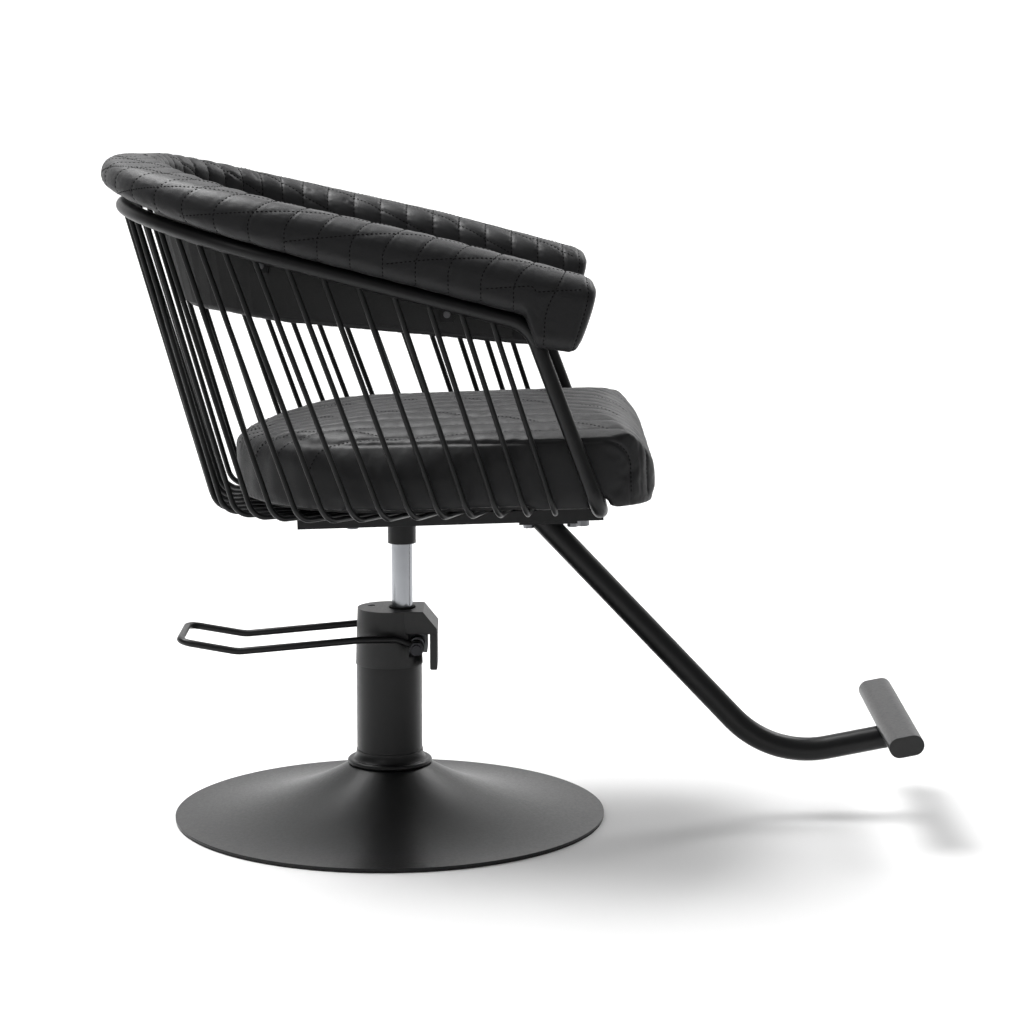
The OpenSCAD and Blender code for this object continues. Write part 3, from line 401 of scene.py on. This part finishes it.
# Stations from the left arm's tip round to the right arm's tip: distance, side, size and forward bulge
ROUND = 16.0
stations = []
for k in (0.04, 0.16, 0.30, 0.44, 0.57, 0.68):
    stations.append((TIP_S, 0.80 * k / 0.76, 2.0 * (1 - k * k)))
for t in np.linspace(0.0, 1.0, 6)[:-1]:
    a = t * math.pi / 2
    stations.append((TIP_S + ROUND * (1 - math.cos(a)), 0.80 + 0.20 * math.sin(a), 0.0))
run = HALF - TIP_S - ROUND
n_run = int(round(run / 4.6))
for i in range(n_run):
    stations.append((TIP_S + ROUND + run * i / n_run, 1.0, 0.0))
whole = [(s, 1, k, f) for s, k, f in stations] + [(HALF, 1, 1.0, 0.0)]
whole += [(s, -1, k, f) for s, k, f in reversed(stations)]

rows, roll_len = [], []
for s, side, k, f in whole:
    x = CAGE_X0 + float(plan(np.array(s))[0]) * math.cos(FALL)
    line, lu, mid = section(x)
    rows.append(pad_places(s, side, line, mid, k, f))
    roll_len.append(lu)
pad_grid = np.array(rows)
st_s = np.array([w[0] for w in whole])
st_side = np.array([w[1] for w in whole], float)
st_size = np.array([w[2] for w in whole])
st_len = np.array(roll_len)
st_f = np.concatenate([np.arange(N_UP) / N_UP, 1.0 + np.arange(N_LOW) / N_LOW])


def finer(a, times, wrap):
    """Catmull-Rom points between the rows of a grid, times as many along its first axis."""
    n = len(a)
    if wrap:
        b = np.concatenate([a[-1:], a, a[:2]])
        last = n
    else:
        b = np.concatenate([2 * a[:1] - a[1:2], a, 2 * a[-1:] - a[-2:-1]])
        last = n - 1
    out = []
    for k in range(times):
        t = k / times
        p0, p1, p2, p3 = (b[j : j + last] for j in range(4))
        square = 2 * p0 - 5 * p1 + 4 * p2 - p3
        cube = 3 * p1 - p0 - 3 * p2 + p3
        out.append(0.5 * (2 * p1 + (p2 - p0) * t + square * t * t + cube * t**3))
    res = np.stack(out, 1).reshape((last * times,) + a.shape[1:])
    return res if wrap else np.concatenate([res, a[-1:]])


def grid_normals(g):
    du = np.zeros_like(g)
    du[1:-1] = g[2:] - g[:-2]
    du[0], du[-1] = g[1] - g[0], g[-1] - g[-2]
    dv = np.roll(g, -1, axis=1) - np.roll(g, 1, axis=1)
    n = np.cross(du, dv)
    ln = np.linalg.norm(n, axis=2, keepdims=True)
    n = n / np.maximum(ln, 1e-9)
    return n


def tube_mesh(name, g):
    ns, nu = g.shape[:2]
    verts = (g.reshape(-1, 3) * 0.001).tolist()
    idx = np.arange(ns * nu).reshape(ns, nu)
    a, b = idx[:-1], idx[1:]
    quads = np.stack([a, b, np.roll(b, -1, 1), np.roll(a, -1, 1)], -1).reshape(-1, 4).tolist()
    quads.append(idx[0].tolist())
    quads.append(idx[-1][::-1].tolist())
    me = bpy.data.meshes.new(name)
    me.from_pydata(verts, [], quads)
    me.update()
    for p in me.polygons:
        p.use_smooth = True
    ob = bpy.data.objects.new(name, me)
    bpy.context.scene.collection.objects.link(ob)
    return ob


def smooth(t):
    t = np.clip(t, 0.0, 1.0)
    return t * t * (3 - 2 * t)


# Seams: cross seams every pitch along the rail, and shallow diagonals climbing forwards over the roll
FIRST = {1: -103.3, -1: -98.8}
SEAMS = {1: 20, -1: 18}
PITCH = {side: (HALF - FIRST[side]) / SEAMS[side] for side in (1, -1)}
DIAG_RISE, DIAG_GAP, DIAG_TOP = 0.31, 40.0, 66.0


def seam_fields(s, side, f, length, size):
    """Phase of the cross seams and of the diagonals on the grid, with how deep each is there."""
    S, F = np.broadcast_arrays(s[:, None], f[None, :])
    L = np.broadcast_to(length[:, None], S.shape)
    SD = np.broadcast_to(side[:, None], S.shape)
    lean = 27.0 * smooth((0.52 - F) / 0.34) * smooth((2.0 - F) / 0.25)
    first = np.where(SD > 0, FIRST[1], FIRST[-1])
    pitch = np.where(SD > 0, PITCH[1], PITCH[-1])
    phase = (S - first - lean) / pitch
    height = (F - 0.5) * L + DIAG_TOP
    diag = (DIAG_RISE * S + height) / DIAG_GAP
    inner = smooth((F - 0.55) / 0.15)
    low_face = smooth((F - 1.30) / 0.08)
    cross = 0.3 + 2.3 * inner
    cross = cross * (1 - low_face) + 0.2 * low_face
    cross = cross + 0.6 * smooth((0.13 - F) / 0.10) * (F < 0.2)
    diag_deep = (0.35 + 0.65 * inner) * smooth((height + 6.0) / 8.0) * (1 - smooth((F - 1.02) / 0.1))
    ends = smooth((phase + 0.25) / 0.25) * (np.broadcast_to(size[:, None], S.shape) > 0.999)
    behind = smooth((S - TIP_S - ROUND) / 18.0)
    return phase, diag, cross * ends, diag_deep * behind, pitch


def quilt(s, side, f, length, size):
    """Height of the quilting over the plain section, in mm, outwards."""
    phase, diag, cross, deep, pitch = seam_fields(s, side, f, length, size)
    d1 = np.abs(phase - np.round(phase)) * pitch
    w1 = np.abs(np.sin(np.pi * phase)) ** 0.62
    cell = np.floor(phase) * 7.13 + np.where(side[:, None] > 0, 0.0, 3.7)
    vary = 1.0 + 0.14 * np.sin(cell * 2.7)
    h = cross * vary * (w1 - 0.60)
    d2 = np.abs(diag - np.round(diag)) * DIAG_GAP
    h = h - deep * np.exp(-((d2 / 3.2) ** 2)) * (0.35 + 0.65 * w1)
    around = np.broadcast_to((f * 1.0)[None, :], phase.shape) * np.broadcast_to(length[:, None], phase.shape)
    ripple = np.sin(around * 0.72 + np.round(phase) * 2.1) * np.exp(-((d1 / 7.0) ** 2))
    h = h + 0.055 * cross * ripple
    h = h - 0.75 * np.exp(-((d1 / 1.5) ** 2)) * smooth(cross / 0.5)
    return h


def puffed(ob, pins, pressure, cap, frames=20, spare=-0.02, stiff=15.0, bend=0.6):
    """The places of a closed mesh's points after its cover is blown up a little between pinned seams."""
    me = ob.data
    start = np.zeros(len(me.vertices) * 3)
    me.vertices.foreach_get("co", start)
    start = start.reshape(-1, 3)
    group = ob.vertex_groups.new(name="pins")
    for w in sorted(set(np.round(pins[pins > 0], 2))):
        group.add(np.nonzero(np.round(pins, 2) == w)[0].tolist(), float(w), "REPLACE")
    mod = ob.modifiers.new("cover", "CLOTH")
    c = mod.settings
    c.quality = 5
    c.mass = 0.25
    c.tension_stiffness = stiff
    c.compression_stiffness = stiff
    c.shear_stiffness = 5.0
    c.bending_stiffness = bend
    c.tension_damping = 25.0
    c.compression_damping = 25.0
    c.use_pressure = True
    c.uniform_pressure_force = pressure
    c.vertex_group_mass = "pins"
    c.pin_stiffness = 1.0
    c.shrink_min = spare
    c.effector_weights.gravity = 0.0
    mod.collision_settings.use_collision = False
    mod.collision_settings.use_self_collision = False
    mod.point_cache.frame_start = 1
    mod.point_cache.frame_end = frames
    scene = bpy.context.scene
    for f in range(1, frames + 1):
        scene.frame_set(f)
    dg = bpy.context.evaluated_depsgraph_get()
    ev = ob.evaluated_get(dg)
    after = np.zeros(len(me.vertices) * 3)
    ev.data.vertices.foreach_get("co", after)
    after = after.reshape(-1, 3)
    ob.modifiers.remove(mod)
    scene.frame_set(1)
    move = after - start
    far = np.linalg.norm(move, axis=1, keepdims=True)
    cap = cap * 0.001
    move = move * (cap * np.tanh(far / cap) / np.maximum(far, 1e-9))
    return start + move


def make_pad():
    base = pad_grid + grid_normals(pad_grid) * quilt(st_s, st_side, st_f, st_len, st_size)[..., None]
    phase, _, cross, _, pitch = seam_fields(st_s, st_side, st_f, st_len, st_size)
    d1 = np.abs(phase - np.round(phase)) * pitch
    pin = np.where((d1 < 2.4) & (cross > 0.2), 1.0, 0.0)
    under = (st_f[None, :] > 1.42) * np.ones_like(pin)
    pin = np.maximum(pin, under)
    pin[st_size < 0.9] = 0.6
    sim = tube_mesh("pad_cover_trial", base)
    # A fine grid next: the blown-up places, then seams pressed back in at the finer spacing
    after = puffed(sim, pin.reshape(-1), 4.0, 1.3, spare=-0.004).reshape(pad_grid.shape) * 1000.0
    bpy.data.objects.remove(sim)
    # The tight cover of the outer roll gives less than that of the inner face
    moved = (after - base) * (0.35 + 0.65 * smooth((st_f - 0.50) / 0.18))[None, :, None]
    times = 2
    g = finer(finer(pad_grid, times, False).swapaxes(0, 1), times, True).swapaxes(0, 1)
    mv = finer(finer(moved, times, False).swapaxes(0, 1), times, True).swapaxes(0, 1)
    s2 = finer(st_s, times, False)
    side2 = np.where(np.arange(len(s2)) <= (len(s2) - 1) / 2, 1.0, -1.0)
    len2, size2 = finer(st_len, times, False), finer(st_size, times, False)
    n_up, n_low = N_UP * times, N_LOW * times
    f2 = np.concatenate([np.arange(n_up) / n_up, 1.0 + np.arange(n_low) / n_low])
    h = quilt(s2, side2, f2, len2, size2)
    g = g + grid_normals(g) * h[..., None] + mv
    # Seam round each arm's end, a little behind its face
    ring = np.exp(-(((s2 - (TIP_S + 9.0)) / 1.6) ** 2))
    g = g - grid_normals(g) * (1.1 * ring)[:, None, None]
    return g, (s2, side2, f2, len2, size2)


pad_g, pad_fields = make_pad()
pad = tube_mesh("upholstered_pad", pad_g)
pad.data.materials.append(M["vinyl"])
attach(pad, "seat")
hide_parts("back_pad")

# Stitches: short threads laid along the seams, each sunk a little into the cover
def stitches(name, lines, body, pitch=5.6, length=3.6, width=1.3, sink=0.2):
    verts, faces = [], []
    for pts, nrm in lines:
        if len(pts) < 3:
            continue
        d = np.concatenate([[0.0], np.cumsum(np.linalg.norm(np.diff(pts, axis=0), axis=1))])
        n = int(d[-1] / pitch)
        for i in range(n):
            a, b = (i + 0.5) * pitch - length / 2, (i + 0.5) * pitch + length / 2
            at = np.array([a, (2 * a + b) / 3, (a + 2 * b) / 3, b])
            c = np.stack([np.interp(at, d, pts[:, j]) for j in range(3)], 1)
            m = np.stack([np.interp(at, d, nrm[:, j]) for j in range(3)], 1)
            m = m / np.linalg.norm(m, axis=1, keepdims=True)
            way = c[-1] - c[0]
            way = way / max(np.linalg.norm(way), 1e-6)
            cross = np.cross(way, m)
            base = len(verts)
            for j, (wide, lift) in enumerate(((0.35, -0.30), (1.0, 0.10), (1.0, 0.10), (0.35, -0.30))):
                mid = c[j] + m[j] * (lift - sink + width * 0.25)
                for u, v in ((-1, 0), (-0.5, 0.8), (0.5, 0.8), (1, 0), (0, -0.7)):
                    verts.append(mid + cross[j] * u * wide * width / 2 + m[j] * v * wide * width / 2)
            for j in range(3):
                row = base + 5 * j
                for k in range(5):
                    after = (k + 1) % 5
                    faces.append((row + k, row + after, row + 5 + after, row + 5 + k))
            faces.append(tuple(base + k for k in range(4, -1, -1)))
            faces.append(tuple(base + 15 + k for k in range(5)))
    me = bpy.data.meshes.new(name)
    me.from_pydata((np.array(verts) * 0.001).tolist(), [], faces)
    me.update()
    for p in me.polygons:
        p.use_smooth = True
    ob = bpy.data.objects.new(name, me)
    bpy.context.scene.collection.objects.link(ob)
    me.materials.append(M["thread"])
    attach(ob, body)
    return ob


def pad_lines():
    g = pad_g
    nrm = grid_normals(g)
    s2, _, _, len2, size2 = pad_fields
    nu = g.shape[1]
    half = (len(s2) + 1) // 2
    lines = []

    def walk(side, s, f):
        """Points and normals on the pad at distances s and outline places f."""
        ok = (s > TIP_S + ROUND) & (s < HALF - 0.5)
        s, f = s[ok], f[ok]
        if len(s) < 3:
            return None
        rows = np.arange(half) if side > 0 else np.arange(len(s2) - 1, len(s2) - 1 - half, -1)
        r = np.interp(s, s2[rows], np.arange(half))
        c = f * nu / 2
        r0 = np.clip(np.floor(r).astype(int), 0, half - 2)
        c0 = np.floor(c).astype(int)
        tr, tc = (r - r0)[:, None], (c - c0)[:, None]
        out = []
        for a in (g, nrm):
            q = a[rows]
            out.append(
                (q[r0, c0 % nu] * (1 - tr) + q[r0 + 1, c0 % nu] * tr) * (1 - tc)
                + (q[r0, (c0 + 1) % nu] * (1 - tr) + q[r0 + 1, (c0 + 1) % nu] * tr) * tc
            )
        return out[0], out[1]

    for side in (1, -1):
        for k in range(0, 21 if side > 0 else 19):
            f = np.linspace(0.05, 1.28, 260)
            lean = 27.0 * smooth((0.52 - f) / 0.34)
            got = walk(side, FIRST[side] + lean + PITCH[side] * k, f)
            if got:
                lines.append(got)
        lo = int(math.floor(DIAG_RISE * TIP_S / DIAG_GAP)) - 1
        for m in range(lo, 12):
            s = np.linspace(TIP_S + ROUND, HALF - 1, 900)
            ln = np.interp(s, s2[:half], len2[:half])
            f = 0.5 + (DIAG_GAP * m - DIAG_RISE * s - DIAG_TOP) / ln
            keep = ((f - 0.5) * ln + DIAG_TOP > -3.0) & (f < 1.04)
            got = walk(side, s[keep], f[keep]) if keep.sum() > 4 else None
            if got:
                lines.append(got)
    # round each arm's end, a little behind its face
    for side in (1, -1):
        rows = np.arange(half) if side > 0 else np.arange(len(s2) - 1, len(s2) - 1 - half, -1)
        r = int(np.argmin(np.abs(s2[rows] - (TIP_S + 9.0)) + 100.0 * (size2[rows] < 0.85)))
        ring = np.concatenate([g[rows[r]], g[rows[r]][:1]])
        rn = np.concatenate([nrm[rows[r]], nrm[rows[r]][:1]])
        lines.append((ring, rn))
    return lines


stitches("pad_stitches", pad_lines(), "seat")

# ------------------------------------------------------------------ seat cushion
RAKE = math.radians(1.8)
RAKE_AT = np.array([18.0, 0.0, 400.0])


def to_seat(p):
    q = p - RAKE_AT
    c, s = math.cos(RAKE), math.sin(RAKE)
    return np.stack([q[:, 0] * c + q[:, 2] * s, q[:, 1], -q[:, 0] * s + q[:, 2] * c], 1) + RAKE_AT


def from_seat(p):
    q = p - RAKE_AT
    c, s = math.cos(RAKE), math.sin(RAKE)
    return np.stack([q[:, 0] * c - q[:, 2] * s, q[:, 1], q[:, 0] * s + q[:, 2] * c], 1) + RAKE_AT


# Channels of the top panel, the slanting seams over them, and the seam round each side's boxing
SEAT_PITCH = 36.5
SEAT_SLANT, SEAT_SLANT_X, SEAT_SLANT_GAP = 0.42, 100.0, 118.0
SEAT_SEAM_Z = 540.0
SEAM_TURN_X, SEAM_TURN_R = 284.0, 36.0
SEAM_DOWN_X = SEAM_TURN_X + SEAM_TURN_R


def mesh_normals(me):
    n = np.zeros(len(me.vertices) * 3)
    me.vertices.foreach_get("normal", n)
    return n.reshape(-1, 3)


def mesh_places(me):
    n = np.zeros(len(me.vertices) * 3)
    me.vertices.foreach_get("co", n)
    return n.reshape(-1, 3)


def boxing_distance(x, z):
    """How far a point of the cushion's side lies from the seam round its boxing."""
    straight = np.abs(z - SEAT_SEAM_Z)
    down = np.abs(x - SEAM_DOWN_X)
    turn_z = SEAT_SEAM_Z - SEAM_TURN_R
    turn = np.abs(np.hypot(x - SEAM_TURN_X, z - turn_z) - SEAM_TURN_R)
    d = np.where(x < SEAM_TURN_X, straight, np.where(z > turn_z, turn, down))
    return np.where((x >= SEAM_TURN_X) & (z > SEAT_SEAM_Z + 30.0), 99.0, d)


def on_top(p, n):
    """Where the quilted top panel is: the top, its rear edge and the waterfall front."""
    x, z = p[:, 0], p[:, 2]
    up = smooth((n[:, 2] - 0.10) / 0.25)
    up = up * smooth((z - SEAT_SEAM_Z + 2.0) / 8.0)
    front = smooth((n[:, 0] - 0.35) / 0.35) * smooth((x - 300.0) / 25.0) * smooth((z - 462.0) / 10.0)
    return np.maximum(up, front)


def seat_quilt(p, on):
    """Height of the quilting on the cushion's top panel, in mm."""
    x, y = p[:, 0], p[:, 1]
    phase = y / SEAT_PITCH + 0.5
    w = np.abs(np.sin(np.pi * phase)) ** 0.62
    d = np.abs(phase - np.round(phase)) * SEAT_PITCH
    h = 3.3 * on * (w - 0.6)
    h = h - 0.7 * on * np.exp(-((d / 1.5) ** 2))
    slant = (y + SEAT_SLANT * (x - SEAT_SLANT_X)) / SEAT_SLANT_GAP
    d2 = np.abs(slant - np.round(slant)) * 109.0
    h = h - 0.8 * on * np.exp(-((d2 / 2.6) ** 2)) * (0.4 + 0.6 * w)
    ripple = np.sin(x * 0.75 + np.round(phase) * 2.3) * np.exp(-((d / 6.0) ** 2))
    return h + 0.12 * on * ripple, d


def baked(ob):
    dg = bpy.context.evaluated_depsgraph_get()
    new = bpy.data.meshes.new_from_object(ob.evaluated_get(dg))
    ob.modifiers.clear()
    ob.data = new
    return new


def make_cushion():
    me = nodes["seat_cushion"].data.copy()
    me.name = "upholstered_seat"
    ob = bpy.data.objects.new("upholstered_seat", me)
    bpy.context.scene.collection.objects.link(ob)
    mod = ob.modifiers.new("remesh", "REMESH")
    mod.mode = "VOXEL"
    mod.voxel_size = 0.0050
    mod.use_smooth_shade = True
    me = baked(ob)
    # Foam rounds every edge of the cut block, most of all where the round rear meets the sides
    p = to_seat(mesh_places(me) * 1000.0)
    x, y, z = p.T
    waist = np.exp(-(((x - 45.0) / 80.0) ** 2)) * smooth((z - 495.0) / 20.0)
    waist = waist * smooth((np.abs(y) - 100.0) / 60.0)
    for name, weight, factor, times in (("waist", waist, 0.9, 260), ("soft", 0.5 + 0 * x, 0.6, 8)):
        g = ob.vertex_groups.new(name=name)
        q = np.round(weight, 1)
        for w in np.unique(q):
            if w > 0:
                g.add(np.nonzero(q == w)[0].tolist(), float(w), "REPLACE")
        m = ob.modifiers.new(name, "SMOOTH")
        m.factor = factor
        m.iterations = times
        m.vertex_group = name
    me = baked(ob)
    p = to_seat(mesh_places(me) * 1000.0)
    n = n_seat(mesh_normals(me))
    on = on_top(p, n)
    h, d = seat_quilt(p, on)
    box = boxing_distance(p[:, 0], p[:, 2])
    pins = np.where((on > 0.4) & (d < 3.0), 1.0, 0.0)
    pins = np.where(p[:, 2] < 463.0, 1.0, pins)
    pins = np.where((box < 3.0) & (on < 0.35), 1.0, pins)
    after = puffed(ob, pins, 4.0, 1.6, spare=-0.006)
    me.vertices.foreach_set("co", after.reshape(-1))
    me.update()
    sub = ob.modifiers.new("finer", "SUBSURF")
    sub.levels = 1
    sub.render_levels = 1
    me = baked(ob)
    p = to_seat(mesh_places(me) * 1000.0)
    n = n_seat(mesh_normals(me))
    on = on_top(p, n)
    h, d = seat_quilt(p, on)
    x, y, z = p[:, 0], p[:, 1], p[:, 2]
    side = 1.0 - on
    box = boxing_distance(x, z)
    facing = smooth((np.abs(n[:, 1]) - 0.45) / 0.25) * smooth((x + 90.0) / 70.0)
    h = h - 2.0 * facing * np.exp(-((box / 2.0) ** 2))
    lip = np.exp(-(((z - SEAT_SEAM_Z - 8.0) / 6.0) ** 2)) * (x < 300.0)
    h = h + 1.3 * lip * facing
    # Slack folds in the rear part of the boxing
    rear = smooth((60.0 - x) / 120.0) * side * smooth((z - 462.0) / 12.0) * smooth((536.0 - z) / 16.0)
    around = np.arctan2(y, x - 41.0) * 238.0
    h = h + 0.8 * rear * np.sin(around / 8.5 + 0.8 * np.sin(around / 31.0))
    moved = p + n * h[:, None]
    me.vertices.foreach_set("co", (from_seat(moved) * 0.001).reshape(-1))
    me.update()
    for q in me.polygons:
        q.use_smooth = True
    me.materials.clear()
    me.materials.append(M["vinyl"])
    return ob


def n_seat(n):
    c, s = math.cos(RAKE), math.sin(RAKE)
    return np.stack([n[:, 0] * c + n[:, 2] * s, n[:, 1], -n[:, 0] * s + n[:, 2] * c], 1)


cushion = make_cushion()
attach(cushion, "seat")
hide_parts("seat_cushion")


def seat_lines():
    """Seams of the cushion, found on its cover by looking at it from outside."""
    me = cushion.data
    tree = BVHTree.FromPolygons([v.co for v in me.vertices], [tuple(q.vertices) for q in me.polygons])

    def seek(starts, ways):
        pts, nrm = [], []
        for a, b in zip(starts, ways):
            hit = tree.ray_cast(Vector(from_seat(np.array([a]))[0] * 0.001), Vector(turned(b)))
            if hit[0] is None:
                if len(pts) > 3:
                    yield np.array(pts) * 1000.0, np.array(nrm)
                pts, nrm = [], []
                continue
            pts.append(list(hit[0]))
            nrm.append(list(hit[1]))
        if len(pts) > 3:
            yield np.array(pts) * 1000.0, np.array(nrm)

    def turned(b):
        c, s = math.cos(RAKE), math.sin(RAKE)
        return (b[0] * c - b[2] * s, b[1], b[0] * s + b[2] * c)

    lines = []
    for k in range(-7, 7):
        y = (k + 0.5) * SEAT_PITCH - SEAT_PITCH
        if abs(y) > 215:
            continue
        xs = np.arange(-190.0, 300.0, 1.5)
        starts = [(x, y, 640.0) for x in xs]
        ways = [(0.0, 0.0, -1.0)] * len(xs)
        for a in np.radians(np.arange(88.0, -1.0, -1.0)):
            starts.append((272.0 + 150.0 * math.cos(a), y, 482.0 + 150.0 * math.sin(a)))
            ways.append((-math.cos(a), 0.0, -math.sin(a)))
        lines += [l for l in seek(starts, ways)]
    for m in range(-3, 4):
        xs = np.arange(-190.0, 330.0, 1.5)
        ys = SEAT_SLANT_GAP * m - SEAT_SLANT * (xs - SEAT_SLANT_X)
        keep = np.abs(ys) < 205
        starts = [(x, y, 640.0) for x, y in zip(xs[keep], ys[keep])]
        lines += [l for l in seek(starts, [(0.0, 0.0, -1.0)] * len(starts))]
    for side in (1, -1):
        path = [
            (SEAM_TURN_X + SEAM_TURN_R * math.cos(a), SEAT_SEAM_Z - SEAM_TURN_R + SEAM_TURN_R * math.sin(a))
            for a in np.radians(np.arange(60.0, -1.0, -2.0))
        ]
        path += [(SEAM_DOWN_X, z) for z in np.arange(SEAT_SEAM_Z - 38.0, 466.0, -1.5)]
        starts = [(x, side * 400.0, z) for x, z in path]
        lines += [l for l in seek(starts, [(0.0, -side * 1.0, 0.0)] * len(starts))]
    return [(p, n) for p, n in lines if len(p) > 4]


stitches("seat_stitches", seat_lines(), "seat")

# ------------------------------------------------------------------ return spring of the pump's plunger
def make_spring(wire=1.6, turns=3.5, steps=32, sides=12):
    """Helix of round wire between the casting's pocket and the plunger's collar."""
    lo, hi = lohi("plunger_spring")
    mid = (lo + hi) / 2
    radius = (hi[0] - lo[0] - wire) / 2
    t = np.linspace(0.0, 1.0, int(turns * steps) + 1)[:, None]
    b = (2 * np.pi * np.arange(sides) / sides)[None, :]
    a = 2 * np.pi * turns * t
    out = radius + np.cos(b) * wire / 2
    z = lo[2] + wire / 2 + (hi[2] - lo[2] - wire) * t + np.sin(b) * wire / 2
    g = np.stack([mid[0] + out * np.cos(a), mid[1] + out * np.sin(a), z], 2)
    ob = tube_mesh("return_spring", g)
    ob.data.materials.append(M["zinc"])
    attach(ob, "base")
    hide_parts("plunger_spring")
    # Its foot stays in the pocket; the plunger slide's travel is read, and the spring gets a mesh of its own
    slide = next(j for j in frame["joints"] if j["name"] == "plunger_slide")
    travel = max(abs(q) for q in slide["range_m"])
    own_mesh(ob)
    return ob


make_spring()

# ------------------------------------------------------------------ floor, light and camera
def studio():
    m, t, b = material("studio_paper")
    co = coords(t)
    soft = noise(t, co, 1.5, 3.0)
    tone = mix(t, remap(t, soft, 0.3, 0.7, 0.0, 1.0), (0.86, 0.86, 0.86), (0.89, 0.89, 0.89))
    t.links.new(tone, b.inputs["Base Color"])
    b.inputs["Roughness"].default_value = 0.9
    b.inputs["Specular IOR Level"].default_value = 0.1
    # Painted light: the sweep glows, more the further back it lies, to keep its rear white where the lamps reach
    # less.
    b.inputs["Emission Color"].default_value = (1.0, 1.0, 1.0, 1.0)
    sep = add(t, "ShaderNodeSeparateXYZ", {0: co})
    t.links.new(remap(t, sep.outputs["Y"], 0.8, 4.5, 0.0, 0.55), b.inputs["Emission Strength"])
    floor_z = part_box("floor_pad")[0].z
    line = [(-7.0, 0.0), (3.0, 0.0)]
    for i in range(1, 17):
        a = math.pi / 2 * i / 16
        line.append((3.0 + 2.0 * math.sin(a), 2.0 - 2.0 * math.cos(a)))
    line.append((5.0, 7.0))
    verts = [(x, y, floor_z + z) for x in (-9.0, 9.0) for y, z in line]
    n = len(line)
    faces = [(i, i + 1, n + i + 1, n + i) for i in range(n - 1)]
    me = bpy.data.meshes.new("studio_sweep")
    me.from_pydata(verts, [], faces)
    me.update()
    ob = bpy.data.objects.new("studio_sweep", me)
    bpy.context.scene.collection.objects.link(ob)
    me.materials.append(m)
    for p in me.polygons:
        p.use_smooth = True
    return ob


def area_light(name, place, aim, size, power, color=(1.0, 1.0, 1.0), size_y=None):
    li = bpy.data.lights.new(name, "AREA")
    li.energy = power
    li.color = color
    li.shape = "RECTANGLE" if size_y else "SQUARE"
    li.size = size
    if size_y:
        li.size_y = size_y
    ob = bpy.data.objects.new(name, li)
    bpy.context.scene.collection.objects.link(ob)
    ob.location = place
    ob.rotation_euler = (Vector(aim) - Vector(place)).to_track_quat("-Z", "Y").to_euler()
    return ob


studio()
area_light("key", (-0.9, 0.5, 3.0), (0.1, 0.0, 0.4), 1.8, 150.0)
area_light("front", (-1.8, -3.2, 2.8), (0.1, 0.0, 0.4), 1.2, 9.5)
area_light("rear", (2.0, 2.2, 2.8), (0.1, 0.0, 0.5), 1.4, 45.0)

world = bpy.data.worlds.new("studio_air")
bpy.context.scene.world = world
world.use_nodes = True
back = world.node_tree.nodes.get("Background")
back.inputs["Color"].default_value = (1.0, 1.0, 1.0, 1.0)
back.inputs["Strength"].default_value = 0.24
bpy.context.scene.view_settings.view_transform = "Standard"

cam = bpy.data.cameras.new("camera")
cam.sensor_width = 36.0
cam.lens = 105.47
cam.dof.use_dof = False
cam.clip_end = 50.0
cam_ob = bpy.data.objects.new("camera", cam)
bpy.context.scene.collection.objects.link(cam_ob)
cam_ob.location = (0.1664, -3.9843, 1.0634)
cam_ob.rotation_euler = (math.radians(80.805), 0.0, 0.0)
bpy.context.scene.camera = cam_ob
